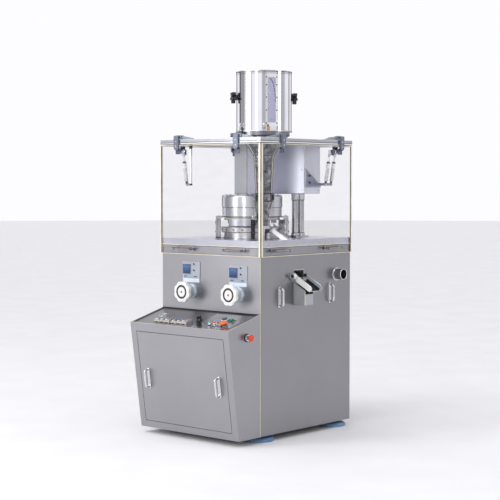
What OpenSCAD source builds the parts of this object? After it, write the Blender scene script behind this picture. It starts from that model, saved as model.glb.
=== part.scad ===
// Rotary tablet press: cabinet with sloping console, punch turret under a clear
// guard with lift-up doors, feed funnel and sight-glass powder drum on the roof.
// Millimetres, +Z up, the front (console side) faces -Y, floor at z = 0.

/* [Cabinet] */
// Width of the cabinet, left to right
tower_w = 636; // [600:2:680]
// Depth of the cabinet, front to back
tower_d = 676; // [640:2:720]
// Height of the cabinet's lower edge above the floor
skirt_z = 30; // [24:1:40]
// Height of the cabinet's upper edge
cabinet_z = 907; // [890:1:925]
// Thickness of the table plate
deck_t = 30; // [24:1:36]
// Thickness of the cabinet sheet
sheet = 3; // [2:0.5:4]
// Diameter of the levelling feet
foot_d = 132; // [100:2:140]

/* [Console] */
// Depth of the console at its upper front edge
console_top_d = 218.6; // [200:0.2:240]
// Depth of the console at its foot
console_foot_d = 147.5; // [130:0.5:170]
// Height of the console's front edge
console_front_z = 536; // [500:2:560]
// Height of the console where it meets the cabinet
console_rear_z = 594; // [570:2:620]

/* [Guard] */
// Height of the roof plate's upper face
roof_z = 1415; // [1400:5:1430]
// Thickness of the roof plate
roof_t = 23; // [18:1:28]
// Overhang of roof and doors past the cabinet
overhang = 6.5; // [6:0.5:9]
// Thickness of the clear door panels
door_t = 5; // [4:0.5:5]
// Height of the doors' lower edge
door_foot_z = 863; // [850:1:880]

/* [Turret] */
// Number of punch stations
stations = 19; // [9:2:19]
// Distance of the turret axis in front of the cabinet's middle
turret_fwd = 36; // [30:1:40]
// Pitch radius of the punches
pitch_r = 115; // [112:1:118]
// Radius of the die table
table_r = 150; // [146:1:150]

/* [Powder drum] */
// Outer radius of the drum
drum_r = 131.5; // [120:0.5:135]
// Height of the drum's lower edge
drum_foot_z = 1444; // [1444:1:1450]
// Height of the drum's upper edge
drum_top_z = 1726; // [1680:2:1760]
// Place of the drum and funnel axis to the right of the cabinet's middle
drum_right = 165; // [160:1:170]
// Place of the drum and funnel axis in front of the cabinet's middle
drum_fwd = 137; // [132:1:142]

/* [Hidden] */
$fn = 96;
gap = 0.5;
run = 0.05;
// joint line between plates or discs that are bolted together
seam = 0.05;
half_w = tower_w / 2;
half_d = tower_d / 2;
deck_z = cabinet_z + deck_t;
side_panel_top = door_foot_z - 3;
roof_foot_z = roof_z - roof_t;
edge_x = half_w + overhang;
edge_y = half_d + overhang;
door_top_z = roof_foot_z - 4;

// door hinge: pin inboard of the roof edge and above it
pin_in = 12;
pin_z = roof_z + 12;
pin_r = 4;
clip_w = 30;
lug_z = pin_z - 69;
lug_in = 19;

// gas strut between a fixed anchor pin and the door's lug stud
anchor_in = 46;
anchor_z = 1199;
strut_rise = lug_z - anchor_z;
strut_lean = atan((anchor_in - lug_in) / strut_rise);
strut_len = sqrt(pow(anchor_in - lug_in, 2) + pow(strut_rise, 2));
strut_eye_r = 8;
strut_side = 22;

// one entry for each door: turn, edge distance, half width, clip places,
// side on which the strut stands at the first clip, handle places
front_clips = [-211, 176];
right_clips = [255, -187];
rear_clips = [-215, 176];
left_clips = [-187, 187];
handle_reach = 24;

// console slopes
rim_h = 4;
rim_w = 10;
top_slope = atan((console_rear_z - console_front_z) / console_top_d);
front_lean = atan((console_top_d - console_foot_d) / (console_front_z - skirt_z));
front_rise = (console_front_z - skirt_z) / cos(front_lean);

// discharge trough
trough_pin_x = half_w + 16;
trough_pin_z = 766;
trough_slope = 29.4;
trough_len = 114.6;
chute_y = -64;
trough_w = 78;
trough_tip_r = 14;
trough_tip_x = trough_pin_x + (trough_len - trough_tip_r) * cos(trough_slope)
    - 8 * sin(trough_slope) + trough_tip_r;
port_y = 230;
port_z = 760;
gland_x = -200;
gland_z = 120;

// origin: middle of the footprint, at the floor
shift_x = (edge_x + handle_reach - trough_tip_x) / 2;
shift_y = (half_d + console_top_d + rim_h * sin(top_slope) - edge_y - handle_reach) / 2;

// chute through the table
chute_x = 238;
chute_near = -104;
chute_far = -60;
trough_ear_near = chute_y - trough_w / 2 - 6;
trough_ear_far = chute_y + trough_w / 2 + 3;

// front controls
wheel_x = [-119, 184];
wheel_z = 686;
wheel_back_y = -half_d - 53;
wheel_shaft_r = 8;
hatch_w = 563;
hatch_low = 33.5;
hatch_high = 473.5;
estop_y = -half_d - 93;
estop_z = 500;

// buttons on the console: distance right, distance down the slope, radius
jog_place = [189, 103, 13.5];
start_place = [238, 109, 10.5];
stop_place = [243, 170, 10.5];

// powder drum
window_turn = -33.2;
knob_turn = 56.6;
knob_z = drum_foot_z + 165;
feeder_turn = atan2(-drum_fwd + turret_fwd, drum_right);

// turret levels
turret_y = -turret_fwd;
die_z = 992;
die_t = 26;
disc_r = 137;
upper_foot_z = 1026;
upper_top_z = 1064;
lower_foot_z = 880;
shaft_r = 30;
journal_r = 25;
punch_r = 10.9;
cover_r = 148.5;
cover_foot_z = 1039;
cover_top_z = 1148;
beam_z = 1152;
roller_y = turret_y + pitch_r;

housing_x = 220;
housing_y = 99;
upper_roller_z = 1131;
lower_roller_z = 775;
lower_track_z = 835;

// gearbox
worm_z = 590;
worm_y = turret_y - 115.5;
box_foot_z = 535;
box_top_z = 645;

// ---- helpers ----

module centred() {
    translate([shift_x, shift_y, 0]) children();
}

// a box given by its low and high corners
module span(a, b) {
    translate(a) cube(b - a);
}

module rod_x(x0, x1, y, z, r) {
    translate([x0, y, z]) rotate([0, 90, 0]) cylinder(h = x1 - x0, r = r);
}

module rod_y(y0, y1, x, z, r) {
    translate([x, y0, z]) rotate([-90, 0, 0]) cylinder(h = y1 - y0, r = r);
}

module rod_z(z0, z1, x, y, r) {
    translate([x, y, z0]) cylinder(h = z1 - z0, r = r);
}

module ring_z(z0, z1, r_in, r_out) {
    difference() {
        translate([0, 0, z0]) cylinder(h = z1 - z0, r = r_out);
        translate([0, 0, z0 - 1]) cylinder(h = z1 - z0 + 2, r = r_in);
    }
}

// a profile of [across, up] points drawn out along X
module along_x(x0, x1) {
    translate([x0, 0, 0]) rotate([90, 0, 90]) linear_extrude(height = x1 - x0) children();
}

// a profile of [along X, up] points drawn out along Y
module along_y(y0, y1) {
    translate([0, y1, 0]) rotate([90, 0, 0]) linear_extrude(height = y1 - y0) children();
}

// a bow handle: two posts and a bar, standing off along +X, bar along Z
module bow(length, reach, r) {
    for (end = [-1, 1])
        rod_x(0, reach - 2 * r, 0, end * (length / 2 - r - 2), r * 0.8);
    translate([reach - r, 0, -length / 2]) cylinder(h = length, r = r);
}

module button_at(x, s, h) {
    translate([x, -half_d, console_rear_z]) rotate([top_slope, 0, 0]) translate([0, -s, h]) children();
}

module on_console_front(x, up) {
    translate([x, -half_d - console_foot_d, skirt_z]) rotate([front_lean, 0, 0])
        translate([0, 0, up]) children();
}

// ---- cabinet ----

module base_frame() color("dimgray") centred() {
    in_x = half_w - sheet - 1;
    in_y = half_d - sheet - 1;
    tube = 28;
    span([-in_x, -in_y, skirt_z], [in_x, in_y, skirt_z + 10]);
    for (sx = [-1, 1], sy = [-1, 1])
        translate([sx * (in_x - tube / 2), sy * (in_y - tube / 2), (skirt_z + 10 + cabinet_z) / 2])
            cube([tube, tube, cabinet_z - skirt_z - 10], center = true);
    for (sy = [-1, 1])
        translate([0, sy * (in_y - tube / 2), cabinet_z - tube / 2])
            cube([2 * (in_x - tube), tube, tube], center = true);
    // side rails, the right one open where the chute drops through
    low = cabinet_z - tube;
    span([-in_x, -in_y + tube, low], [-in_x + tube, in_y - tube, cabinet_z]);
    span([in_x - tube, -in_y + tube, low], [in_x, trough_ear_near, cabinet_z]);
    span([in_x - tube, trough_ear_far + 3, low], [in_x, in_y - tube, cabinet_z]);
}

module leveling_feet() color("steelblue") centred()
    for (sx = [-1, 1], sy = [-1, 1])
        translate([sx * (half_w - 60), sy * (half_d - 66), 0]) rotate_extrude()
            polygon([[0, 0], [foot_d / 2, 0], [foot_d / 2, 12], [foot_d / 2 - 8, 18],
                     [16, 22], [16, skirt_z], [0, skirt_z]]);

module cabinet_shell() color("lightgray") centred() {
    difference() {
        span([-half_w, -half_d, skirt_z], [half_w, -half_d + sheet, cabinet_z]);
        for (x = wheel_x) rod_y(-half_d - 1, -half_d + sheet + 1, x, wheel_z, wheel_shaft_r + run);
    }
    front_y = -half_d + sheet + seam;
    rear_y = half_d - sheet - seam;
    span([-half_w, front_y, skirt_z], [-half_w + sheet, rear_y, cabinet_z]);
    difference() {
        span([-half_w, half_d - sheet, skirt_z], [half_w, half_d, cabinet_z]);
        rod_y(half_d - sheet - 1, half_d + 1, gland_x, gland_z, 6);
    }
    span([half_w - sheet, front_y, side_panel_top], [half_w, rear_y, cabinet_z]);
}

module deck_plate() color("silver") centred()
    difference() {
        span([-half_w, -half_d, cabinet_z], [half_w, half_d, deck_z]);
        rod_z(cabinet_z - 1, deck_z + 1, 0, turret_y, table_r + 2);
        span([chute_x, chute_near - 1.5, cabinet_z - 1], [chute_x + 58, chute_far + 1.5, deck_z + 1]);
    }

module cable_gland() color("black") centred() translate([gland_x, half_d, gland_z]) rotate([-90, 0, 0])
    difference() {
        union() {
            cylinder(h = 5, r = 16);
            translate([0, 0, 5]) cylinder(h = 8, r = 13.8, $fn = 6);
            translate([0, 0, 13]) cylinder(h = 10, r = 10);
        }
        translate([0, 0, -1]) cylinder(h = 26, r = 6);
    }

module right_side_panel() color("gray") centred() {
    slot = [chute_y - trough_w / 2 + 2, chute_y + trough_w / 2 - 2];
    duct = [chute_y - trough_w / 2 + 2, chute_y + 24];
    duct_out = half_w + 72;
    difference() {
        span([half_w - sheet, -half_d + sheet + gap, skirt_z + 1],
             [half_w, half_d - sheet - gap, side_panel_top - gap]);
        span([half_w - 10, slot[0], 748], [half_w + 10, slot[1], 795]);
        rod_x(half_w - 10, half_w + 10, port_y, port_z, 23.5);
    }
    difference() {
        rod_x(half_w, half_w + 44, port_y, port_z, 26);
        rod_x(half_w - 10, half_w + 50, port_y, port_z, 23.5);
    }
    for (y = [duct[0], duct[1] - 2])
        along_y(y, y + 2)
            polygon([[half_w, 630], [duct_out, 630], [duct_out, 700], [half_w, 738]]);
    span([duct_out - 2, duct[0] + 2, 630], [duct_out, duct[1] - 2, 682]);
    for (y = [trough_ear_near, trough_ear_far])
        difference() {
            union() {
                span([half_w, y, trough_pin_z - 8], [trough_pin_x, y + 3, trough_pin_z + 8]);
                rod_y(y, y + 3, trough_pin_x, trough_pin_z, 8);
            }
            rod_y(y - 1, y + 4, trough_pin_x, trough_pin_z, 4 + run);
        }
}

module side_panel_handles() color("silver") centred()
    for (y = [-198, 176]) translate([half_w, y, 668]) bow(96, 30, 6);

// ---- console ----

// side profile of the console, [Y, Z] points; the rim is a raised edge round the sloping top
function along_slope(s, h) = [
    -half_d - s * cos(top_slope) - h * sin(top_slope),
    console_rear_z - s * sin(top_slope) + h * cos(top_slope)
];

module console_shell() color("lightgray") centred() {
    rear = -half_d;
    foot = rear - console_foot_d;
    brow = rear - console_top_d;
    slope = console_top_d / cos(top_slope);
    below = [[rear, skirt_z], [foot, skirt_z], [brow, console_front_z], along_slope(slope, rim_h)];
    difference() {
        union() {
            along_x(-half_w + rim_w, half_w - rim_w)
                polygon(concat(below, [along_slope(slope - rim_w, rim_h), along_slope(slope - rim_w, 0),
                                       [rear, console_rear_z]]));
            for (x = [-half_w, half_w - rim_w])
                along_x(x, x + rim_w)
                    polygon(concat(below, [[rear, console_rear_z + rim_h / cos(top_slope)]]));
        }
        along_x(-half_w + sheet, half_w - sheet)
            polygon([[rear + 1, skirt_z + sheet], [foot + sheet, skirt_z + sheet],
                     [brow + sheet + 1, console_front_z - sheet], [rear + 1, console_rear_z - sheet - 1]]);
        on_console_front(0, 0) span([-hatch_w / 2 - 1, -2, hatch_low - 1],
                                    [hatch_w / 2 + 1, sheet + 3, hatch_high + 1]);
    }
    // collar of the side emergency stop
    translate([half_w, estop_y, estop_z]) rotate([0, 90, 0])
        difference() {
            union() {
                cylinder(h = 6, r = 15);
                translate([0, 0, 6]) cylinder(h = 12, r = 11);
            }
            translate([0, 0, 1]) cylinder(h = 20, r = 7 + run);
        }
}

module console_front_panel() color("lightgray") centred() on_console_front(0, 0) {
    span([-hatch_w / 2, 0, hatch_low], [hatch_w / 2, sheet, hatch_high]);
    for (x = [-229, 229])
        translate([x, 0, 247]) rotate([0, 0, -90]) bow(98, 30, 6);
}

module instrument_units() color("white") centred()
    for (x = [-127, -17])
        button_at(x, 181, 0) {
            translate([-53, -21, 0]) cube([106, 42, 14]);
            translate([-50, -18, 14]) cube([100, 36, 4]);
        }

module button_plate() color("silver") centred() {
    button_at(182, 121, seam) translate([-107, -93, 0]) cube([214, 186, 3]);
    for (b = [jog_place, start_place, stop_place])
        button_at(b[0], b[1], 3) ring_z(0, 5, b[2] + 0.5, b[2] + 3.5);
    // two indicator lamps and two key switches
    for (b = [[144, 157], [174, 155]]) button_at(b[0], b[1], 3) {
        cylinder(h = 3, r = 10);
        translate([0, 0, 3]) cylinder(h = 5, r = 7.5);
    }
    for (b = [[181, 200], [227, 201]]) button_at(b[0], b[1], 3) {
        cylinder(h = 4, r = 11);
        translate([0, 0, 4]) cylinder(h = 6, r = 8.5);
    }
}

module push_button(place) {
    button_at(place[0], place[1], 7) cylinder(h = 9, r = place[2]);
}

module start_button() color("green") centred() push_button(start_place);

module jog_button() color("black") centred() push_button(jog_place);

module mushroom(stem_r, stem_h, head_r, head_h) {
    cylinder(h = stem_h, r = stem_r);
    translate([0, 0, stem_h]) rotate_extrude()
        polygon([[0, 0], [head_r - 2, 0], [head_r, 3], [head_r - 1, head_h - 5],
                 [head_r * 0.6, head_h - 1], [0, head_h]]);
}

module stop_button() color("orangered") centred()
    button_at(stop_place[0], stop_place[1], 8) mushroom(8, 8, 20, 12);

module estop_head() color("red") centred()
    translate([half_w + 6.5, estop_y, estop_z]) rotate([0, 90, 0]) mushroom(7, 17, 16.5, 12);

module control_knob() {
    cylinder(h = 5, r = 13);
    translate([0, 0, 5]) cylinder(h = 14, r = 10);
    translate([-2.5, -12, 19]) cube([5, 24, 5]);
}

module speed_knob() color("black") centred() button_at(49, 127, gap) control_knob();

module mode_knob() color("black") centred() button_at(100, 185, 3 + gap) control_knob();

// ---- front controls ----

module handwheel_bosses() color("silver") centred()
    for (x = wheel_x)
        translate([x, -half_d, wheel_z]) rotate([90, 0, 0])
            difference() {
                rotate_extrude() polygon([[0, 0], [36, 0], [36, 10], [31, 16], [31, 44], [28, 48], [0, 48]]);
                translate([0, 0, -1]) cylinder(h = 50, r = wheel_shaft_r + run);
            }

module lobed_handwheel() {
    rotate([90, 0, 0]) {
        difference() {
            union() {
                cylinder(h = 20, r = 43);
                for (i = [0:7]) rotate([0, 0, 45 * i + 22.5]) translate([41, 0, 2]) cylinder(h = 16, r = 10);
            }
            translate([0, 0, 15]) cylinder(h = 6, r = 31);
        }
        translate([0, 0, 15]) cylinder(h = 7, r = 29);
        translate([0, 0, -140]) cylinder(h = 140, r = wheel_shaft_r);
    }
}

module fill_handwheel() color("white") centred()
    translate([wheel_x[0], wheel_back_y, wheel_z]) lobed_handwheel();

module pressure_handwheel() color("white") centred()
    translate([wheel_x[1], wheel_back_y, wheel_z]) lobed_handwheel();

module counter_units() color("lightsteelblue") centred()
    for (c = [[wheel_x[0], 789], [wheel_x[1], 782]])
        translate([c[0], 0, c[1]]) {
            span([-58, -half_d - 3, -38], [56, -half_d, 38]);
            span([-54, -half_d - 7, -20], [-4, -half_d - 3, 27]);
            for (z = [28, -2]) rod_y(-half_d - 6, -half_d - 3, 18, z, 4);
            span([-58, -half_d - 2, -60], [52, -half_d, -41]);
        }

// ---- guard ----

module roof_plate() color("silver") centred()
    difference() {
        span([-edge_x, -edge_y, roof_foot_z], [edge_x, edge_y, roof_z]);
        rod_z(roof_foot_z - 1, roof_z + 1, drum_right, -drum_fwd, 92.5);
    }

// turns a door drawn at the front onto side k: 0 front, 1 right, 2 rear, 3 left
module on_side(k) {
    rotate([0, 0, 90 * k]) children();
}

function edge_of(k) = k % 2 == 0 ? edge_y : edge_x;

// a box in door terms: u along the edge, v outward from the roof edge, z up
module door_box(k, u, v, z) {
    span([u[0], -edge_of(k) - v[1], z[0]], [u[1], -edge_of(k) - v[0], z[1]]);
}

module door_panel(k) on_side(k) {
    half = k % 2 == 0 ? edge_x : edge_y - door_t - 1;
    door_box(k, [-half, half], [-door_t, 0], [door_foot_z, door_top_z]);
}

module door_fittings(k, clips, grips, struts, towards) on_side(k) {
    e = edge_of(k);
    for (u = clips) {
        // arm with its knuckle, reaching over the roof edge
        difference() {
            union() {
                door_box(k, [u - clip_w / 2, u + clip_w / 2], [-pin_in, 1], [pin_z - 5, pin_z + 5]);
                rod_x(u - clip_w / 2, u + clip_w / 2, -e + pin_in, pin_z, 9);
            }
            rod_x(u - clip_w, u + clip_w, -e + pin_in, pin_z, pin_r + run);
        }
        door_box(k, [u - clip_w / 2, u + clip_w / 2], [1, 9], [pin_z - 64, pin_z + 5]);
        door_box(k, [u - clip_w / 2, u + clip_w / 2], [0, 1], [pin_z - 64, door_top_z]);
        door_box(k, [u - clip_w / 2, u + clip_w / 2], [-door_t - 4, -door_t], [lug_z - 14, lug_z + 14]);
    }
    // lug plate, lug and stud beside each strut eye
    for (s = struts) {
        u = clips[0];
        edge = u + towards * (s - 22);
        near = u + towards * (s - 14);
        far = u + towards * (s - 6);
        tip = u + towards * (s - 4.6);
        door_box(k, [min(edge, far), max(edge, far)], [-door_t - 4, -door_t], [lug_z - 14, lug_z + 14]);
        door_box(k, [min(near, far), max(near, far)], [-27, -door_t - 4], [lug_z - 8, lug_z + 8]);
        rod_x(min(far, tip), max(far, tip), -e + lug_in, lug_z, 4);
    }
    // a pair of low bow handles
    for (u = grips) {
        for (end = [-1, 1]) rod_y(-e - 13, -e, u + end * 52, 890, 4.5);
        rod_x(u - 66, u + 66, -e - 18, 890, 6);
    }
}

module front_door() color("lightcyan", 0.4) centred() door_panel(0);
module right_door() color("lightcyan", 0.4) centred() door_panel(1);
module rear_door() color("lightcyan", 0.4) centred() door_panel(2);
module left_door() color("lightcyan", 0.4) centred() door_panel(3);

module front_door_fittings() color("slategray") centred()
    door_fittings(0, front_clips, [-161, 168], [strut_side], 1);
module right_door_fittings() color("slategray") centred()
    door_fittings(1, right_clips, [186, -210], [strut_side, strut_side + 42], -1);
module rear_door_fittings() color("slategray") centred()
    door_fittings(2, rear_clips, [-168, 161], [], 1);
module left_door_fittings() color("slategray") centred()
    door_fittings(3, left_clips, [-186, 210], [], 1);

module hinge_block(k, u, towards) {
    e = edge_of(k);
    half = clip_w / 2 + 1;
    for (side = [-1, 1]) {
        a = u + side * half;
        b = u + side * (half + 9);
        door_box(k, [min(a, b), max(a, b)], [-22, -3], [roof_z, pin_z + 7]);
    }
    rod_x(u - half - 9, u + half + 9, -e + pin_in, pin_z, pin_r);
    a = u + towards * (half + 9);
    y = -e + pin_in;
    translate([0, y + 4, 0]) rotate([90, 0, 0]) linear_extrude(height = 8)
        polygon([[a, roof_z], [a + towards * 70, roof_z], [a + towards * 70, roof_z + 5], [a, pin_z + 5]]);
}

module hinge_blocks() color("slategray") centred() {
    on_side(0) for (u = front_clips) hinge_block(0, u, 1);
    on_side(1) for (u = right_clips) hinge_block(1, u, -1);
    on_side(2) for (u = rear_clips) hinge_block(2, u, 1);
    on_side(3) for (u = left_clips) hinge_block(3, u, -1);
}

// a strut's own frame: origin at its anchor pin, +Z towards the stud
module strut_frame(k, u) on_side(k)
    translate([u, -edge_of(k) + anchor_in, anchor_z]) rotate([strut_lean, 0, 0]) children();

module strut_cylinder() {
    difference() {
        union() {
            rod_x(-4, 4, 0, 0, strut_eye_r);
            translate([0, 0, 6]) cylinder(h = 14, r = 5);
            translate([0, 0, 16]) cylinder(h = 96, r = 8.5);
        }
        rod_x(-5, 5, 0, 0, pin_r + run);
        translate([0, 0, 26]) cylinder(h = 90, r = 4 + run);
    }
}

module strut_rod() {
    difference() {
        union() {
            translate([0, 0, 32]) cylinder(h = strut_len - 38, r = 4);
            rod_x(-4, 4, 0, strut_len, strut_eye_r);
        }
        rod_x(-5, 5, 0, strut_len, pin_r + run);
    }
}

module front_strut_cylinder() color("silver") centred()
    strut_frame(0, front_clips[0] + strut_side) strut_cylinder();
module front_strut_rod() color("dimgray") centred()
    strut_frame(0, front_clips[0] + strut_side) strut_rod();
module right_strut_cylinder() color("silver") centred()
    for (s = [strut_side, strut_side + 42]) strut_frame(1, right_clips[0] - s) strut_cylinder();
module right_strut_rod() color("dimgray") centred()
    for (s = [strut_side, strut_side + 42]) strut_frame(1, right_clips[0] - s) strut_rod();

module strut_hangers() color("silver") centred() {
    // rod hanging from the roof beside the front strut
    u = front_clips[0] + strut_side;
    y = -edge_y + anchor_in;
    rod_z(anchor_z - 6, roof_foot_z, u + 26, y, 6);
    rod_x(u - 6, u + 26, y, anchor_z, pin_r);
    // gusset on the upper housing, arm and cross pin for the right struts
    arm_y = right_clips[0] - strut_side - 23;
    along_x(housing_x, housing_x + 6)
        polygon([[housing_y + 3, anchor_z + 79], [housing_y + 3, anchor_z - 15],
                 [housing_y + 121, anchor_z - 15], [housing_y + 121, anchor_z - 5]]);
    for (z = [anchor_z + 42, anchor_z + 8])
        rod_x(housing_x + 6, housing_x + 11, housing_y + 28, z, 7);
    span([housing_x + 6, arm_y - 6, anchor_z - 6], [edge_x - anchor_in + 6, arm_y + 6, anchor_z + 6]);
    rod_y(arm_y - 25, arm_y + 29, edge_x - anchor_in, anchor_z, pin_r);
}

// ---- press head ----

module upper_housing() color("silver") centred()
    difference() {
        union() {
            span([-housing_x, housing_y, beam_z], [housing_x, housing_y + 122, roof_foot_z]);
            span([-41, turret_y - 83, beam_z], [41, housing_y, roof_foot_z]);
        }
        rod_z(beam_z - 1, beam_z + 40, 0, turret_y, journal_r + run);
        span([-38, roller_y - 13, beam_z - 1], [38, roller_y + 13, beam_z + 27]);
    }

module roller_carrier() color("dimgray") centred() {
    z = upper_roller_z;
    for (y = [roller_y - 19, roller_y + 13])
        difference() {
            union() {
                span([-14, y, z], [14, y + 6, beam_z]);
                rod_y(y, y + 6, 0, z, 14);
            }
            rod_y(y - 1, y + 7, 0, z, 8);
        }
    rod_y(roller_y - 19, roller_y + 19, 0, z, 8);
}

module pressure_roller(r, bore) rotate([90, 0, 0])
    difference() {
        rotate_extrude()
            polygon([[0, -12], [r - 2, -12], [r, -10], [r, 10], [r - 2, 12], [0, 12]]);
        translate([0, 0, -13]) cylinder(h = 26, r = bore);
    }

module upper_roller() color("gray") centred()
    translate([0, roller_y, upper_roller_z]) pressure_roller(42, 8 + run);

module lower_roller() color("gray") centred()
    translate([0, roller_y, lower_roller_z]) pressure_roller(60, 10 + run);

module support_columns() color("silver") centred() {
    // polished pairs carrying the upper housing
    for (sx = [-1, 1], y = [housing_y + 39, housing_y + 83])
        translate([sx * 130, y, 0]) {
            rod_z(deck_z + 22, beam_z - 30, 0, 0, 16);
            rod_z(deck_z + 10 + seam, deck_z + 22, 0, 0, 20);
            rod_z(beam_z - 30, beam_z, 0, 0, 19);
        }
    for (sx = [-1, 1])
        translate([sx * 130, housing_y + 61, 0])
            span([-28, -50, deck_z], [28, 50, deck_z + 10]);
    // short posts carrying the cam cover
    for (k = [0:3])
        translate([0, turret_y, 0]) rotate([0, 0, 90 * k - 47])
            span([table_r + 4, -9, deck_z], [table_r + 28, 9, cover_foot_z - 4]);
}

module cam_cover() color("whitesmoke") centred() translate([0, turret_y, 0])
    difference() {
        union() {
            rotate_extrude() polygon([
                [cover_r - 7, cover_foot_z], [cover_r - 3, cover_foot_z], [cover_r - 3, cover_foot_z + 46],
                [cover_r - 5, cover_foot_z + 46], [cover_r - 5, cover_foot_z + 49],
                [cover_r, cover_foot_z + 49], [cover_r, cover_top_z - 10],
                [cover_r - 3, cover_top_z - 3], [cover_r - 10, cover_top_z],
                [0, cover_top_z], [0, cover_top_z - 4], [cover_r - 11, cover_top_z - 4],
                [cover_r - 7, cover_top_z - 8]]);
            // ears on the posts
            for (k = [0:3]) rotate([0, 0, 90 * k - 47])
                span([cover_r - 6, -9, cover_foot_z - 4], [table_r + 28, 9, cover_foot_z + 6]);
            // apron in front of the punches
            rotate([0, 0, -100]) rotate_extrude(angle = 49)
                polygon([[142, die_z + 3], [145, die_z + 3],
                         [145, cover_foot_z + 1], [142, cover_foot_z + 1]]);
        }
        translate([0, 0, cover_top_z - 9]) cylinder(h = 12, r = journal_r + 3);
        translate([0, pitch_r, cover_top_z]) cube([86, 46, 20], center = true);
    }

module at_turret() {
    centred() translate([0, turret_y, 0]) children();
}

module at_stations() {
    for (i = [0:stations - 1])
        rotate([0, 0, (i + 0.5) * 360 / stations]) translate([pitch_r, 0, 0]) children();
}

// lower punch disc, die table, spacer and upper punch disc, bolted in a stack
module turret() color("silver") at_turret()
    difference() {
        union() {
            rotate_extrude() polygon([
                [shaft_r, lower_foot_z], [disc_r - 3, lower_foot_z], [disc_r, lower_foot_z + 3],
                [disc_r, die_z - die_t - seam], [shaft_r, die_z - die_t - seam]]);
            ring_z(die_z - die_t, die_z, shaft_r, table_r);
            ring_z(die_z + seam, upper_foot_z - seam, shaft_r, 88);
            ring_z(upper_foot_z, upper_top_z, shaft_r, disc_r);
        }
        at_stations() {
            translate([0, 0, lower_foot_z - 1])
                cylinder(h = die_z - die_t - lower_foot_z + 1, r = punch_r + 0.1);
            translate([0, 0, die_z - die_t]) cylinder(h = die_t + 1, r = 12 + run);
            translate([0, 0, upper_foot_z - 1])
                cylinder(h = upper_top_z - upper_foot_z + 2, r = punch_r + 0.1);
        }
    }

module dies() color("gainsboro") at_turret() at_stations()
    translate([0, 0, die_z - die_t])
        difference() {
            cylinder(h = die_t, r = 12);
            translate([0, 0, -1]) cylinder(h = die_t + 2, r = 5);
        }

// a punch profile from its tip upwards: tip, shank, neck and head
module punch(tip, shank) rotate_extrude()
    polygon([[0, 0], [4.9, 0], [4.9, tip], [punch_r, tip + 4], [punch_r, tip + shank],
             [7, tip + shank + 3], [7, tip + shank + 8], [12, tip + shank + 12],
             [12, tip + shank + 15], [8, tip + shank + 18], [0, tip + shank + 18]]);

module upper_punches() color("lightgray") at_turret() at_stations()
    translate([0, 0, die_z + 18]) punch(12, 48);

module lower_punches() color("lightgray") at_turret() at_stations()
    translate([0, 0, die_z - 14]) mirror([0, 0, 1]) punch(16, 108);

module main_shaft() color("gray") at_turret() {
    rod_z(549, upper_top_z, 0, 0, shaft_r);
    rod_z(upper_top_z, beam_z + 36, 0, 0, journal_r);
    // worm wheel keyed on the shaft
    ring_z(worm_z - 20, worm_z + 20, shaft_r + seam, 94.5);
}

module worm_shaft() color("gray") centred() {
    rod_x(-140, 147, worm_y, worm_z, 12);
    difference() {
        rod_x(-45, 45, worm_y, worm_z, 20);
        rod_x(-46, 46, worm_y, worm_z, 12);
    }
}

module turret_base() color("dimgray") centred() {
    wall = 10;
    x_out = 125;
    y_low = worm_y - 38;
    y_high = roller_y + 31;
    difference() {
        translate([0, turret_y, 0]) rotate_extrude() polygon([
            [shaft_r + run, box_top_z - 12], [60, box_top_z - 12], [60, 800], [156, 800],
            [156, cabinet_z - 12], [176, cabinet_z - 12], [176, cabinet_z], [152, cabinet_z],
            [152, 810], [132, 810], [132, lower_track_z], [98, lower_track_z], [98, 810],
            [50, 810], [50, 872], [shaft_r + run, 872]]);
        translate([0, roller_y, 818]) cube([116, 32, 40], center = true);
    }
    // gearbox of bolted plates on four legs
    plate_low = box_foot_z + 12 + seam;
    plate_high = box_top_z - 12 - seam;
    difference() {
        span([-x_out, y_low, box_top_z - 12], [x_out, y_high, box_top_z]);
        rod_z(box_top_z - 13, box_top_z + 1, 0, turret_y, 60 + seam);
    }
    for (x = [-x_out, x_out - wall])
        difference() {
            span([x, y_low, plate_low], [x + wall, y_high, plate_high]);
            rod_x(x - 1, x + wall + 1, worm_y, worm_z, 12 + run);
        }
    span([-x_out + wall + seam, y_low, plate_low], [x_out - wall - seam, y_low + wall, plate_high]);
    span([-x_out, y_low, box_foot_z], [x_out, y_high, box_foot_z + 12]);
    for (x = [-x_out, x_out - 36], y = [y_low, y_high - 36])
        span([x, y, skirt_z + 10], [x + 36, y + 36, box_foot_z - seam]);
    // carrier of the lower pressure roller
    for (y = [roller_y - 20, roller_y + 14])
        difference() {
            span([-16, y, box_top_z + seam], [16, y + 6, lower_roller_z + 15]);
            rod_y(y - 1, y + 7, 0, lower_roller_z, 10);
        }
    rod_y(roller_y - 20, roller_y + 20, 0, lower_roller_z, 10);
}

module drive_motor() color("navy") centred() {
    difference() {
        union() {
            rod_x(125, 150, worm_y, worm_z, 46);
            rod_x(150, 288, worm_y, worm_z, 58);
            span([165, worm_y - 30, worm_z + 50], [235, worm_y + 30, worm_z + 84]);
        }
        rod_x(124, 150, worm_y, worm_z, 20);
    }
}

// ---- powder path ----

module feed_funnel() color("gray") centred() translate([drum_right, -drum_fwd, 0])
    rotate_extrude() polygon([
        [12.5, 1002], [14.5, 1002], [41, 1118], [44, 1118], [44, 1156], [41, 1158], [50, 1334],
        [90, roof_foot_z], [90, roof_z], [104, roof_z], [104, roof_z + 3], [88, roof_z + 3],
        [88, roof_foot_z], [48, 1334], [39, 1158], [39, 1118]]);

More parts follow.
